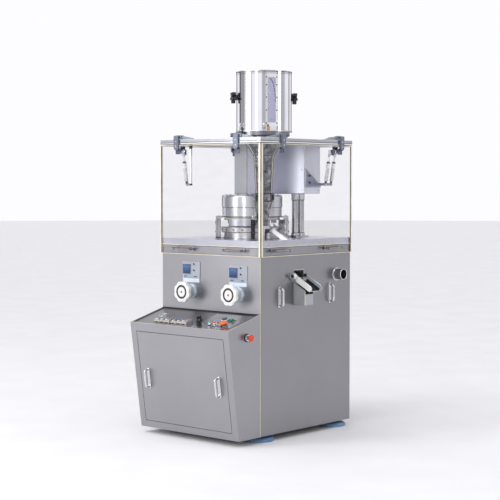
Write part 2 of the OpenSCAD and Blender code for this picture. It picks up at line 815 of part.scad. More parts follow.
module feeder_frame() color("goldenrod") at_turret() rotate([0, 0, feeder_turn]) {
    z = die_z + 0.6;
    top = z + 8.6;
    for (side = [-1, 1]) {
        span([98, min(side * 24, side * 28), z], [table_r + 6, max(side * 24, side * 28), top]);
        span([table_r + 2, min(side * 16, side * 24), z], [table_r + 6, max(side * 16, side * 24), top]);
        span([table_r + 6, min(side * 16, side * 20), z], [214, max(side * 16, side * 20), top]);
    }
    span([94, -28, z], [98, 28, top]);
    span([214, -20, z], [218, 20, top]);
    span([table_r + 2, -20, z - 6], [218, 20, z]);
    rod_z(deck_z, z - 6, table_r + 34, 0, 8);
}

module drum_flange() color("silver") centred() translate([drum_right, -drum_fwd, 0]) {
    ring_z(roof_z + 3, drum_foot_z - 17, 89, 112);
    // plate with rounded ends, offset towards the middle of the roof
    difference() {
        union() {
            span([-115, -75, drum_foot_z - 17], [50, 75, drum_foot_z]);
            rod_z(drum_foot_z - 17, drum_foot_z, -115, 0, 75);
            rod_z(drum_foot_z - 17, drum_foot_z, 0, 0, 122);
        }
        rod_z(drum_foot_z - 18, drum_foot_z + 1, 0, 0, 89);
    }
    // draw latches round the drum's foot
    for (a = [-49, -101, 131, 79]) rotate([0, 0, a]) {
        span([drum_r + 2, -5, drum_foot_z], [drum_r + 7, 5, drum_foot_z + 22]);
        span([112, -7, drum_foot_z - 14], [drum_r + 9, 7, drum_foot_z]);
    }
}

module hopper_drum() color("whitesmoke") centred() translate([drum_right, -drum_fwd, 0])
    difference() {
        union() {
            ring_z(drum_foot_z, drum_top_z, drum_r - 2, drum_r);
            ring_z(drum_foot_z, drum_foot_z + 3, 89, drum_r - 1);
        }
        rotate([0, 0, window_turn - 10]) rotate_extrude(angle = 20)
            polygon([[drum_r - 4, drum_foot_z + 36], [drum_r + 2, drum_foot_z + 36],
                     [drum_r + 2, drum_top_z - 24], [drum_r - 4, drum_top_z - 24]]);
        for (a = [0, 180]) rotate([0, 0, knob_turn + a])
            rod_x(drum_r - 8, drum_r + 8, 0, knob_z, 5.5);
    }

module drum_window() color("lavender") centred() translate([drum_right, -drum_fwd, 0]) {
    low = drum_foot_z + 26;
    high = drum_top_z - 14;
    difference() {
        rotate([0, 0, window_turn - 12.6]) rotate_extrude(angle = 25.2)
            polygon([[drum_r, low], [drum_r + 3, low], [drum_r + 3, high], [drum_r, high]]);
        rotate([0, 0, window_turn - 8.5]) rotate_extrude(angle = 17)
            polygon([[drum_r - 1, low + 16], [drum_r + 4, low + 16],
                     [drum_r + 4, high - 16], [drum_r - 1, high - 16]]);
    }
    rotate([0, 0, window_turn - 8.5]) rotate_extrude(angle = 17)
        polygon([[drum_r + 0.5, low + 16], [drum_r + 2, low + 16],
                 [drum_r + 2, high - 16], [drum_r + 0.5, high - 16]]);
}

module drum_lid() color("silver") centred() translate([drum_right, -drum_fwd, 0]) {
    difference() {
        rod_z(drum_top_z + gap, drum_top_z + 5, 0, 0, drum_r + 1.5);
        rod_z(drum_top_z, drum_top_z + 2, 0, 0, 121);
    }
    ring_z(drum_top_z - 9, drum_top_z + gap, drum_r - 6, drum_r - 3);
}

module wing_knob() {
    rod_x(drum_r - 12, drum_r + 8, 0, 0, 5);
    rod_x(drum_r + 2, drum_r + 8, 0, 0, 14);
    rod_x(drum_r + 8, drum_r + 30, 0, 0, 16);
    for (i = [0:4])
        rotate([72 * i + 18, 0, 0]) translate([0, 0, 20]) rod_x(drum_r + 10, drum_r + 29, 0, 0, 9);
}

module drum_knob_left() color("black") centred()
    translate([drum_right, -drum_fwd, knob_z]) rotate([0, 0, knob_turn + 180]) wing_knob();

module drum_knob_right() color("black") centred()
    translate([drum_right, -drum_fwd, knob_z]) rotate([0, 0, knob_turn]) wing_knob();

// ---- tablet path ----

module inner_chute() color("whitesmoke") centred() {
    fall = 0.6;
    x0 = 158;
    x1 = 292;
    floor0 = 990;
    floor1 = floor0 - fall * (x1 - x0);
    near = chute_near;
    far = chute_far;
    // sloping floor and side walls down through the table
    along_y(near + 2, far - 2)
        polygon([[x0, floor0], [x0, floor0 - 2.4], [x1, floor1 - 2.4], [x1, floor1]]);
    for (y = [near, far - 2])
        along_y(y, y + 2)
            polygon([[x0, floor0 - 2.4], [x1, floor1 - 2.4], [x1, floor1 + 22], [x0, floor0 + 22]]);
    // support plate standing on the table behind the chute
    difference() {
        span([190, far, deck_z], [chute_x - 2, far + 4, 1030]);
        for (x = [206, 222]) rod_y(far - 1, far + 5, x, 1008, 3.5);
    }
    for (x = [206, 222]) rod_y(far - 1.5, far + 4, x, 1008, 3.5);
    // shaft below the table leading to the side opening
    wide = [chute_y - trough_w / 2 + 3, chute_y + trough_w / 2 - 3];
    out = half_w - sheet - gap;
    for (y = [wide[0] - 2, wide[1]])
        along_y(y, y + 2)
            polygon([[228, 780], [out, 752], [out, 795], [304, 800], [304, cabinet_z], [228, cabinet_z]]);
    span([226, wide[0] - 2, 780], [228, wide[1] + 2, cabinet_z]);
    span([304, wide[0] - 2, 800], [306, wide[1] + 2, cabinet_z]);
    along_y(wide[0], wide[1]) polygon([[228, 780], [out, 752], [out, 754.4], [228, 782.4]]);
}

module discharge_trough() color("whitesmoke") centred()
    translate([trough_pin_x, chute_y, trough_pin_z]) rotate([0, trough_slope, 0]) {
        half = trough_w / 2;
        span([14, -half + 2, -22], [trough_len - trough_tip_r + 4, half - 2, -20]);
        for (y = [-half, half - 2])
            along_y(y, y + 2)
                union() {
                    polygon([[0, -8], [14, -22], [trough_len - trough_tip_r, -22],
                             [trough_len - trough_tip_r, 6], [0, 6]]);
                    translate([trough_len - trough_tip_r, -8]) circle(r = trough_tip_r);
                    circle(r = 8);
                }
        rod_y(trough_ear_near - chute_y - 3, -half, 0, 0, 4);
        rod_y(half, trough_ear_far - chute_y + 5, 0, 0, 4);
        // clamping knob on the near end of the pin
        rod_y(trough_ear_near - chute_y - 18, trough_ear_near - chute_y - 2, 0, 0, 15);
    }

base_frame();
leveling_feet();
cabinet_shell();
deck_plate();
cable_gland();
console_shell();
instrument_units();
button_plate();
handwheel_bosses();
counter_units();
roof_plate();
hinge_blocks();
strut_hangers();
upper_housing();
roller_carrier();
support_columns();
cam_cover();
feed_funnel();
feeder_frame();
drum_flange();
hopper_drum();
drum_window();
inner_chute();
turret_base();
drive_motor();
drum_lid();
drum_knob_left();
drum_knob_right();
turret();
dies();
upper_punches();
lower_punches();
main_shaft();
worm_shaft();
upper_roller();
lower_roller();
start_button();
jog_button();
stop_button();
estop_head();
speed_knob();
mode_knob();
fill_handwheel();
pressure_handwheel();
console_front_panel();
right_side_panel();
side_panel_handles();
discharge_trough();
front_door();
right_door();
rear_door();
left_door();
front_door_fittings();
right_door_fittings();
rear_door_fittings();
left_door_fittings();
front_strut_cylinder();
front_strut_rod();
right_strut_cylinder();
right_strut_rod();
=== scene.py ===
"""Rotary tablet press: materials, detailed pieces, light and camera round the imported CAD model.

All lengths given to the shape helpers are millimetres from the cabinet's middle (X right,
Y back, Z up); make() turns them into metres in the CAD model's own frame.
"""

import math

import bmesh
import bpy
from mathutils import Matrix, Vector


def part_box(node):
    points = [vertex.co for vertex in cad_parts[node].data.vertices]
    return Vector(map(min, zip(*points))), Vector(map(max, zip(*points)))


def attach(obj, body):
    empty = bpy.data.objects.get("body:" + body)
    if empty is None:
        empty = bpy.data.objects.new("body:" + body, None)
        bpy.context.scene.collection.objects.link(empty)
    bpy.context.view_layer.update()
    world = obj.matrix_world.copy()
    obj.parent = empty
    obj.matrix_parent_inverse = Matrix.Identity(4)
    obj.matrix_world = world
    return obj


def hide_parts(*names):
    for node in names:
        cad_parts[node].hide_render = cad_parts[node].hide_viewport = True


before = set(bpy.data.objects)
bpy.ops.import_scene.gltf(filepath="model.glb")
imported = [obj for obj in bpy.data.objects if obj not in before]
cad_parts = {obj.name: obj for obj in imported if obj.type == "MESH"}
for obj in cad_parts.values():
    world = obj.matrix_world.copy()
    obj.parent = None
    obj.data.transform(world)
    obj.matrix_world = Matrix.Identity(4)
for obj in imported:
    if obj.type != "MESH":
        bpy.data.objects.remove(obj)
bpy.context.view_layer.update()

shell_low, shell_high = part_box("cabinet_shell")
CENTRE = Vector(((shell_low.x + shell_high.x) / 2, (shell_low.y + shell_high.y) / 2, 0))


def box_mm(node):
    """The two corners of a CAD node's box, in millimetres from the cabinet's middle."""
    low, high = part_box(node)
    return (low - CENTRE) * 1000, (high - CENTRE) * 1000


HALF_W = (shell_high.x - shell_low.x) * 500
HALF_D = (shell_high.y - shell_low.y) * 500
DECK_Z = box_mm("deck_plate")[1].z
ROOF_LOW_Z, ROOF_Z = (corner.z for corner in box_mm("roof_plate"))
SIDES = ("front", "right", "rear", "left")

# console: x along the cabinet's front, s down the sloping top from its rear edge
CONSOLE_REAR_Z = 594.0
CONSOLE_SLOPE, CONSOLE_LEAN = 14.859, 7.999
CONSOLE_FOOT_Y = -HALF_D - 147.5
SKIRT_Z = 30.0
INSTRUMENTS_X, INSTRUMENTS_S = (-127, -17), 181
BUTTON_PLATE_X, BUTTON_PLATE_S = 182, 121
JOG, START, STOP = (189, 103, 13.5), (238, 109, 10.5), (243, 170, 10.5)
LAMP_PLACES = ((144, 157), (174, 155))
KEY_PLACES = ((181, 200), (227, 201))
SPEED_KNOB, MODE_KNOB = (49, 127), (100, 185)
HATCH_HALF, HATCH_LOW, HATCH_HIGH = 281.5, 33.5, 473.5
HATCH_HANDLES_X, HATCH_HANDLE_UP = (-229, 229), 247

# cabinet's front and right side
COUNTERS = ((-119, 789), (184, 782))
SIDE_HANDLES_Y, SIDE_HANDLE_Z = (-202, 176), 671
PORT_Y, PORT_Z = 230, 760
DUCT_Y, DUCT_LOW_Z, DUCT_REACH = -101, 631, 71
PIN_OUT, TROUGH_Y, TROUGH_Z, TROUGH_TILT = 16, -64, 766, 29.4

# doors and gas struts
PIN_Z = ROOF_Z + 12
DOOR_OUT = 6.5
GRIP_Z = 890
CLIP_HALF, CLIP_TOP, CLIP_FOOT = 15, 5, -64
STRUT_PIN_Z, STRUT_SET_BACK, STRUT_LEAN, STRUT_LENGTH = 1199, 46, 9.6376, 161.276

# press head and drum
TURRET_Y = -36.0
STATIONS = 19
COVER_TOP_Z, DIE_Z, COVER_R, DIE_TABLE_R = 1148, 979, 144.8, 149.7
COLUMN_X, COLUMNS_Y, COLUMN_TOP_Z = 130, (138, 182), 1118.6
HOUSING_Z, HOUSING_HALF, HOUSING_Y = 1153, 220, 99
ARM_HALF, ARM_Y = 40.6, TURRET_Y - 83
DRUM_X, DRUM_Y = 165.0, -137.0
DRUM_R = 131.5
STAR_KNOB_Z = 1609
WINDOW_TURN = -33.2


# ---- shapes: each is (points, faces) in millimetres ----


def block(low, high):
    (x0, y0, z0), (x1, y1, z1) = low, high
    points = [(x0, y0, z0), (x1, y0, z0), (x1, y1, z0), (x0, y1, z0),
              (x0, y0, z1), (x1, y0, z1), (x1, y1, z1), (x0, y1, z1)]
    faces = [(0, 3, 2, 1), (4, 5, 6, 7), (0, 1, 5, 4), (1, 2, 6, 5), (2, 3, 7, 6), (3, 0, 4, 7)]
    return points, faces


def blocks(place, rows):
    """Blocks at one place; a row is low corner, high corner and material."""
    return [(block(low, high), place, material) for low, high, material in rows]


def lathe(profile, steps=48, start=0.0, sweep=360.0):
    """Turns a profile of (radius, height) points round Z. A part turn gets flat ends."""
    full = sweep >= 360
    count = steps if full else steps + 1
    points, rings = [], []
    for i in range(count):
        a = math.radians(start + sweep * i / steps)
        ring = []
        for r, z in profile:
            if r == 0 and i > 0:
                ring.append(rings[0][len(ring)])
                continue
            ring.append(len(points))
            points.append((r * math.cos(a), r * math.sin(a), z))
        rings.append(ring)
    closed = profile[0][0] != 0 or profile[-1][0] != 0
    n = len(profile)
    faces = []
    for i in range(steps):
        a, b = rings[i], rings[(i + 1) % count]
        for j in range(n if closed else n - 1):
            k = (j + 1) % n
            face = []
            for v in (a[j], b[j], b[k], a[k]):
                if v not in face:
                    face.append(v)
            if len(face) > 2:
                faces.append(tuple(face))
    if not full:
        faces.append(tuple(rings[0]))
        faces.append(tuple(reversed(rings[-1])))
    return points, faces


def ring(inner, outer, z0, z1, steps, start=0.0, sweep=360.0):
    """A square-edged ring."""
    return lathe([(inner, z0), (outer, z0), (outer, z1), (inner, z1)], steps, start, sweep)


def rod(radius, z0, z1, edge=0.6, steps=32):
    """A round bar with eased edges."""
    e = min(edge, radius * 0.4, (z1 - z0) * 0.4)
    return lathe([(0, z0), (radius - e, z0), (radius, z0 + e), (radius, z1 - e),
                  (radius - e, z1), (0, z1)], steps)


def prism(outline, z0, z1):
    n = len(outline)
    points = [(x, y, z0) for x, y in outline] + [(x, y, z1) for x, y in outline]
    faces = [tuple(reversed(range(n))), tuple(range(n, 2 * n))]
    faces += [(i, (i + 1) % n, n + (i + 1) % n, n + i) for i in range(n)]
    return points, faces


def tube(path, radius, steps=14):
    """A round bar swept along a path of points, with capped ends."""
    path = [Vector(p) for p in path]
    tangents = []
    for i in range(len(path)):
        a, b = path[max(i - 1, 0)], path[min(i + 1, len(path) - 1)]
        tangents.append((b - a).normalized())
    side = tangents[0].orthogonal().normalized()
    points, faces = [], []
    for i, (p, t) in enumerate(zip(path, tangents)):
        side = (side - t * side.dot(t)).normalized()
        up = t.cross(side)
        for k in range(steps):
            a = 2 * math.pi * k / steps
            points.append(tuple(p + (side * math.cos(a) + up * math.sin(a)) * radius))
    for i in range(len(path) - 1):
        for k in range(steps):
            m = (k + 1) % steps
            faces.append((i * steps + k, i * steps + m, (i + 1) * steps + m, (i + 1) * steps + k))
    faces.append(tuple(reversed(range(steps))))
    last = (len(path) - 1) * steps
    faces.append(tuple(last + k for k in range(steps)))
    return points, faces


def arc(centre, radius, a0, a1, count):
    """Points on an arc in the XZ plane, angles in degrees."""
    cx, cy, cz = centre
    out = []
    for i in range(count + 1):
        a = math.radians(a0 + (a1 - a0) * i / count)
        out.append((cx + radius * math.cos(a), cy, cz + radius * math.sin(a)))
    return out


def lobed(mean, depth, lobes, steps):
    """A round outline with flutes or lobes."""
    outline = []
    for i in range(steps):
        a = 2 * math.pi * i / steps
        r = mean + depth * math.cos(lobes * a)
        outline.append((r * math.cos(a), r * math.sin(a)))
    return outline


# turns that bring a shape's Z axis to the right or to the front
TO_RIGHT, TO_FRONT = (0, 90, 0), (90, 0, 0)


def at(x, y, z, turn=(0, 0, 0)):
    """A place and a turn (degrees about X, then Y, then Z) as a matrix."""
    m = Matrix.Translation((x, y, z))
    for axis, angle in zip("ZYX", reversed(turn)):
        m = m @ Matrix.Rotation(math.radians(angle), 4, axis)
    return m


def spin(angle):
    """A turn about Z, in degrees."""
    return Matrix.Rotation(math.radians(angle), 4, "Z")


def on_console(x, s, h):
    """A place on the console's sloping top: s down the slope, h above it."""
    return at(x, -HALF_D, CONSOLE_REAR_Z, (CONSOLE_SLOPE, 0, 0)) @ at(0, -s, h)


def on_hatch(x, up):
    """A place on the console's leaning front, looking outward along -Y."""
    return at(x, CONSOLE_FOOT_Y, SKIRT_Z, (CONSOLE_LEAN, 0, 0)) @ at(0, 0, up)


HERE = Matrix.Identity(4)
SIDE_TURN = [spin(90 * k) for k in range(4)]


def make(name, body, parts, bevel=0.0, replaces=(), sharp=35.0):
    """Joins (shape, matrix, material) parts into one piece that rides on a body."""
    points, faces, materials, slots = [], [], [], []
    for shape, matrix, material in parts:
        base = len(points)
        for p in shape[0]:
            points.append(tuple((matrix @ Vector(p)) * 0.001 + CENTRE))
        if material not in slots:
            slots.append(material)
        for f in shape[1]:
            faces.append(tuple(base + v for v in f))
            materials.append(slots.index(material))
    mesh = bpy.data.meshes.new(name)
    mesh.from_pydata(points, [], faces)
    mesh.validate()
    for m in slots:
        mesh.materials.append(m)
    mesh.polygons.foreach_set("material_index", materials[:len(mesh.polygons)])
    mesh.update()
    fix_normals(mesh)
    mesh.shade_smooth()
    mesh.set_sharp_from_angle(angle=math.radians(sharp))
    piece = bpy.data.objects.new(name, mesh)
    bpy.context.scene.collection.objects.link(piece)
    if bevel:
        ease_edges(piece, bevel)
    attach(piece, body)
    if replaces:
        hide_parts(*replaces)
    return piece


def fix_normals(mesh):
    bm = bmesh.new()
    bm.from_mesh(mesh)
    bmesh.ops.recalc_face_normals(bm, faces=bm.faces)
    bm.to_mesh(mesh)
    bm.free()


def ease_edges(piece, width):
    """Small rounded edges, width in millimetres."""
    bevel = piece.modifiers.new("eased_edges", "BEVEL")
    bevel.width = width * 0.001
    bevel.segments = 2
    bevel.limit_method = "ANGLE"
    bevel.angle_limit = math.radians(40)


# ---- materials ----

# part of a noise's range that holds most of its values
NOISE_LOW, NOISE_HIGH = 0.3, 0.7


def new_material(name):
    material = bpy.data.materials.new(name)
    material.use_nodes = True
    tree = material.node_tree
    return material, tree, tree.nodes["Principled BSDF"]


def noise(tree, scale, stretch=(1, 1, 1), detail=4.0):
    """A noise in object space; scale is in cycles per metre."""
    coord = tree.nodes.new("ShaderNodeTexCoord")
    mapping = tree.nodes.new("ShaderNodeMapping")
    mapping.inputs["Scale"].default_value = stretch
    texture = tree.nodes.new("ShaderNodeTexNoise")
    texture.inputs["Scale"].default_value = scale
    texture.inputs["Detail"].default_value = detail
    tree.links.new(coord.outputs["Object"], mapping.inputs["Vector"])
    tree.links.new(mapping.outputs["Vector"], texture.inputs["Vector"])
    return texture.outputs["Fac"]


def spread(tree, value, low, high):
    """The noise value spread from low to high."""
    node = tree.nodes.new("ShaderNodeMapRange")
    node.inputs["From Min"].default_value = NOISE_LOW
    node.inputs["From Max"].default_value = NOISE_HIGH
    node.inputs["To Min"].default_value = low
    node.inputs["To Max"].default_value = high
    tree.links.new(value, node.inputs["Value"])
    return node.outputs["Result"]


def two_tone(tree, value, first, second):
    """The noise value turned into a colour between two."""
    ramp = tree.nodes.new("ShaderNodeValToRGB")
    ends = ((NOISE_LOW, first), (NOISE_HIGH, second))
    for element, (position, colour) in zip(ramp.color_ramp.elements, ends):
        element.position = position
        element.color = (*colour, 1)
    tree.links.new(value, ramp.inputs["Fac"])
    return ramp.outputs["Color"]


def bump(tree, bsdf, value, strength, distance):
    node = tree.nodes.new("ShaderNodeBump")
    node.inputs["Strength"].default_value = strength
    node.inputs["Distance"].default_value = distance
    tree.links.new(value, node.inputs["Height"])
    tree.links.new(node.outputs["Normal"], bsdf.inputs["Normal"])


def metal(name, dark, light, rough, grain=(1, 1, 1), scale=90.0, strength=0.05, wear=4.0):
    """Bare metal: a stretched grain in colour, roughness and bump, with slow smudges."""
    material, tree, bsdf = new_material(name)
    bsdf.inputs["Metallic"].default_value = 1.0
    fine = noise(tree, scale, grain, 6.0)
    slow = noise(tree, wear, (1, 1, 1), 3.0)
    blend = tree.nodes.new("ShaderNodeMix")
    blend.inputs["Factor"].default_value = 0.55
    tree.links.new(fine, blend.inputs["A"])
    tree.links.new(slow, blend.inputs["B"])
    tree.links.new(two_tone(tree, blend.outputs["Result"], dark, light), bsdf.inputs["Base Color"])
    tree.links.new(spread(tree, blend.outputs["Result"], rough[0], rough[1]), bsdf.inputs["Roughness"])
    bump(tree, bsdf, fine, strength, 0.0002)
    return material


def painted(name, dark, light, rough=(0.35, 0.5), scale=900.0, strength=0.08, metallic=0.0):
    """Paint or moulded plastic: fine texture, slight tone change, uneven gloss."""
    material, tree, bsdf = new_material(name)
    bsdf.inputs["Metallic"].default_value = metallic
    fine = noise(tree, scale, (1, 1, 1), 3.0)
    slow = noise(tree, 14.0, (1, 1, 1), 4.0)
    tree.links.new(two_tone(tree, slow, dark, light), bsdf.inputs["Base Color"])
    tree.links.new(spread(tree, slow, rough[0], rough[1]), bsdf.inputs["Roughness"])
    bump(tree, bsdf, fine, strength, 0.0001)
    return material


def clear(name, tint, alpha):
    """Clear acrylic sheet with faint wipe marks."""
    material, tree, bsdf = new_material(name)
    marks = noise(tree, 9.0, (1, 1, 3), 5.0)
    tree.links.new(two_tone(tree, marks, tuple(c * 0.96 for c in tint), tint), bsdf.inputs["Base Color"])
    tree.links.new(spread(tree, marks, alpha * 0.85, alpha * 1.15), bsdf.inputs["Alpha"])
    bsdf.inputs["Roughness"].default_value = 0.03
    bsdf.inputs["IOR"].default_value = 1.18
    return material


def glowing(name, dark, light, strength):
    """Lamps, displays and painted glowing highlights on edges: lit a little from inside."""
    material = painted(name, dark, light, (0.12, 0.25), 500.0, 0.03)
    bsdf = material.node_tree.nodes["Principled BSDF"]
    bsdf.inputs["Emission Color"].default_value = (*light, 1)
    bsdf.inputs["Emission Strength"].default_value = strength
    return material


SHEET = metal("satin_sheet", (0.35, 0.345, 0.367), (0.39, 0.385, 0.407), (0.30, 0.38), (1, 1, 26), 60, 0.06)
# a darker copy of the satin sheet for the right side: painted shade
SHADED_SIDE_SHEET = metal("satin_side_sheet_painted_shade", (0.295, 0.295, 0.312), (0.33, 0.33, 0.347), (0.30, 0.38),
                   (1, 26, 1), 60, 0.06)
ROOF = metal("satin_roof", (0.42, 0.425, 0.47), (0.48, 0.485, 0.53), (0.24, 0.34), (30, 1, 30), 40, 0.05)
# a brighter copy of the roof sheet for the deck: painted light
LIT_DECK = metal("satin_deck_painted_light", (0.54, 0.545, 0.61), (0.62, 0.625, 0.69), (0.24, 0.34), (30, 1, 30), 40, 0.05)
HOUSING = metal("housing_sheet", (0.72, 0.73, 0.81), (0.80, 0.81, 0.89), (0.32, 0.42), (26, 26, 1), 50, 0.05)
POLISHED = metal("polished_steel", (0.72, 0.73, 0.76), (0.85, 0.86, 0.89), (0.06, 0.14), (1, 1, 8), 30, 0.02)
DRUM = metal("polished_drum", (0.80, 0.80, 0.85), (0.92, 0.92, 0.96), (0.05, 0.09), (6, 6, 0.3), 14, 0.012, 6)
FUNNEL = metal("mottled_funnel", (0.006, 0.008, 0.01), (0.40, 0.40, 0.41), (0.14, 0.28),
               (1, 1, 1), 70, 0.4, 40)
TOOL = metal("ground_tool_steel", (0.42, 0.42, 0.44), (0.60, 0.60, 0.62), (0.18, 0.30), (1, 1, 12), 70, 0.05)
TABLE = metal("ground_die_table", (0.40, 0.40, 0.42), (0.56, 0.56, 0.57), (0.22, 0.32), (1, 1, 14), 60, 0.04)
STAINLESS = metal("satin_stainless", (0.55, 0.55, 0.57), (0.66, 0.66, 0.68), (0.22, 0.34),
                  (10, 10, 1), 60, 0.05)
CAST = painted("painted_casting", (0.16, 0.17, 0.18), (0.22, 0.23, 0.24), (0.4, 0.6), 160, 0.35)
FRAME_PAINT = painted("frame_paint", (0.05, 0.05, 0.055), (0.08, 0.08, 0.085), (0.4, 0.55), 300, 0.2)
CHROME = metal("dark_chrome", (0.58, 0.58, 0.60), (0.74, 0.74, 0.76), (0.04, 0.08), (1, 1, 8), 30, 0.012)
COVER = metal("brushed_cover", (0.56, 0.57, 0.60), (0.70, 0.71, 0.74), (0.14, 0.24), (12, 12, 1), 30, 0.05)
FLANGE = metal("ground_flange", (0.17, 0.175, 0.19), (0.26, 0.265, 0.28), (0.24, 0.36), (10, 10, 1), 60, 0.05)
KNUCKLE = painted("pale_hinge_enamel", (0.25, 0.30, 0.33), (0.33, 0.38, 0.41), (0.25, 0.4), 500, 0.05, 0.3)
CLIP = painted("clip_enamel", (0.16, 0.175, 0.24), (0.22, 0.24, 0.31), (0.22, 0.36), 500, 0.05, 0.4)
GRIP = metal("brown_steel", (0.26, 0.24, 0.22), (0.46, 0.44, 0.42), (0.12, 0.22), (1, 1, 8), 40, 0.03)
SHADE = metal("shaded_sheet", (0.27, 0.275, 0.29), (0.37, 0.375, 0.39), (0.28, 0.40), (20, 20, 1), 40, 0.05)
BOSS = painted("pale_boss", (0.50, 0.58, 0.64), (0.60, 0.68, 0.74), (0.15, 0.28), 600, 0.03, 0.3)
BRIGHT = metal("bright_sheet", (0.84, 0.84, 0.86), (0.90, 0.90, 0.92), (0.20, 0.26), (1, 1, 1), 24, 0.01)
# a pale diffuse sheet over the duct's near face, brighter than its steel: painted light
LIT_DUCT_FACE = painted("duct_sheet_painted_light", (0.32, 0.34, 0.33), (0.38, 0.40, 0.39), (0.3, 0.4), 300, 0.03, 0.2)
STEEL_BLUE = metal("blued_steel", (0.34, 0.37, 0.45), (0.46, 0.49, 0.58), (0.25, 0.36), (1, 1, 10), 80, 0.05)
BLUE_PAD = painted("blue_pad", (0.09, 0.20, 0.36), (0.16, 0.30, 0.48), (0.5, 0.7), 700, 0.15)
MOTOR = painted("motor_enamel", (0.03, 0.07, 0.16), (0.06, 0.11, 0.22), (0.3, 0.45), 300, 0.1)
BRONZE = metal("bronze", (0.42, 0.28, 0.10), (0.58, 0.40, 0.16), (0.25, 0.4), (1, 1, 1), 60, 0.06)
COPPER = metal("copper", (0.60, 0.24, 0.08), (0.80, 0.36, 0.14), (0.2, 0.35), (1, 1, 1), 80, 0.06)
WHITE = painted("white_plastic", (0.80, 0.80, 0.78), (0.90, 0.90, 0.88), (0.22, 0.34), 900, 0.04)
IVORY = painted("ivory_dial", (0.74, 0.76, 0.76), (0.84, 0.86, 0.86), (0.3, 0.4), 900, 0.03)
BLACK = painted("black_plastic", (0.010, 0.010, 0.012), (0.022, 0.022, 0.025), (0.28, 0.45), 900, 0.1)
RUBBER = painted("dark_rubber", (0.012, 0.012, 0.012), (0.03, 0.03, 0.03), (0.6, 0.8), 600, 0.2)
RED = painted("red_plastic", (0.70, 0.045, 0.01), (0.85, 0.075, 0.02), (0.18, 0.3), 900, 0.04)
ORANGE = painted("orange_plastic", (0.80, 0.10, 0.015), (0.90, 0.15, 0.03), (0.18, 0.3), 900, 0.04)
GREEN = painted("green_plastic", (0.01, 0.16, 0.08), (0.02, 0.24, 0.12), (0.2, 0.3), 900, 0.04)
TEAL = painted("teal_plastic", (0.008, 0.07, 0.09), (0.015, 0.12, 0.14), (0.2, 0.3), 900, 0.04)
COUNTER = painted("counter_face", (0.33, 0.355, 0.41), (0.38, 0.405, 0.46), (0.25, 0.4), 700, 0.04)
NAVY = painted("navy_bezel", (0.01, 0.015, 0.10), (0.02, 0.03, 0.16), (0.2, 0.3), 900, 0.04)
LCD = glowing("display_glass", (0.06, 0.15, 0.29), (0.09, 0.22, 0.38), 0.08)
LABEL = painted("pale_label", (0.62, 0.70, 0.82), (0.72, 0.79, 0.90), (0.3, 0.4), 700, 0.03)
CLEAR = clear("clear_acrylic", (0.14, 0.11, 0.20), 0.034)
WINDOW = clear("window_glass", (0.55, 0.54, 0.72), 0.55)
# cream strips that glow, laid on edges: painted highlights
EDGE_HIGHLIGHT = glowing("painted_edge_highlight", (0.62, 0.56, 0.40), (0.86, 0.80, 0.62), 0.16)
# dark strips beside bright edges and round handle plates: painted shade
SHADE_LINE = painted("painted_shade_line", (0.05, 0.045, 0.035), (0.10, 0.09, 0.07), (0.2, 0.3), 300, 0.03)
LAMP_RED = glowing("red_lamp", (0.60, 0.03, 0.02), (0.75, 0.05, 0.03), 0.25)
LAMP_GREEN = glowing("green_lamp", (0.02, 0.30, 0.10), (0.04, 0.42, 0.16), 0.2)

CAD_LOOKS = (
    (FRAME_PAINT, "base_frame"), (BLUE_PAD, "leveling_feet"), (LIT_DECK, "deck_plate"), (ROOF, "roof_plate"),
    (SHEET, "cabinet_shell console_shell console_front_panel"), (SHADED_SIDE_SHEET, "right_side_panel"),
    (STAINLESS, "instrument_units button_plate feeder_frame drum_lid"), (COUNTER, "counter_units"),
    (BLACK, "cable_gland drum_knob_left drum_knob_right speed_knob mode_knob"), (BOSS, "handwheel_bosses"),
    (KNUCKLE, "hinge_blocks"), (STEEL_BLUE, "strut_hangers"), (HOUSING, "upper_housing"),
    (CAST, "roller_carrier turret_base"), (COVER, "cam_cover"), (FUNNEL, "feed_funnel"),
    (CHROME, "support_columns front_strut_cylinder right_strut_cylinder"), (FLANGE, "drum_flange"),
    (DRUM, "hopper_drum"), (BRIGHT, "drum_window inner_chute discharge_trough"), (MOTOR, "drive_motor"),
    (TABLE, "turret"), (TOOL, "dies upper_punches lower_punches main_shaft worm_shaft"),
    (TOOL, "upper_roller lower_roller"), (GREEN, "start_button"), (TEAL, "jog_button"),
    (ORANGE, "stop_button"), (RED, "estop_head"), (WHITE, "fill_handwheel pressure_handwheel"),
    (POLISHED, "side_panel_handles front_strut_rod right_strut_rod"),
    (CLEAR, "front_door right_door rear_door left_door"),
    (CLIP, "front_door_fittings right_door_fittings rear_door_fittings left_door_fittings"),
)

for material, nodes in CAD_LOOKS:
    for node in nodes.split():
        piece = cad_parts[node]
        piece.data.materials.clear()
        piece.data.materials.append(material)


# ---- shared details ----


def screw(radius, height=None):
    """A socket-head screw standing up from z = 0."""
    h = height or radius * 0.7
    socket = radius * 0.5
    return lathe([(0, -0.5), (radius, -0.5), (radius, h * 0.7), (radius * 0.85, h),
                  (socket, h), (socket * 0.92, h * 0.35), (0, h * 0.35)], 20)


def bow(length):
    """A bow handle along Z, standing off along +X, with rounded corners."""
    r, bend, out = 6, 10.8, 24
    half = length / 2 - r - 2
    path = [(0, 0, -half), (out - bend, 0, -half)]
    path += arc((out - bend, 0, -half + bend), bend, -90, 0, 7)[1:]
    path += arc((out - bend, 0, half - bend), bend, 0, 90, 7)
    path += [(0, 0, half)]
    return tube(path, r, 18)


OBLONG = [(12 * math.cos(math.pi * i / 12), 12 * math.sin(math.pi * i / 12) + (40 if i < 12 else -40))
          for i in range(24)]


def oblong_plate(place):
    """A plate with a paler middle behind a bow handle; its dark rim is painted shade round the handle."""
    middle = [(x * 0.8, z * 0.94) for x, z in OBLONG]
    return [(prism(OBLONG, 0, 0.9), place, SHADE_LINE), (prism(middle, 0.8, 1.4), place, STAINLESS)]


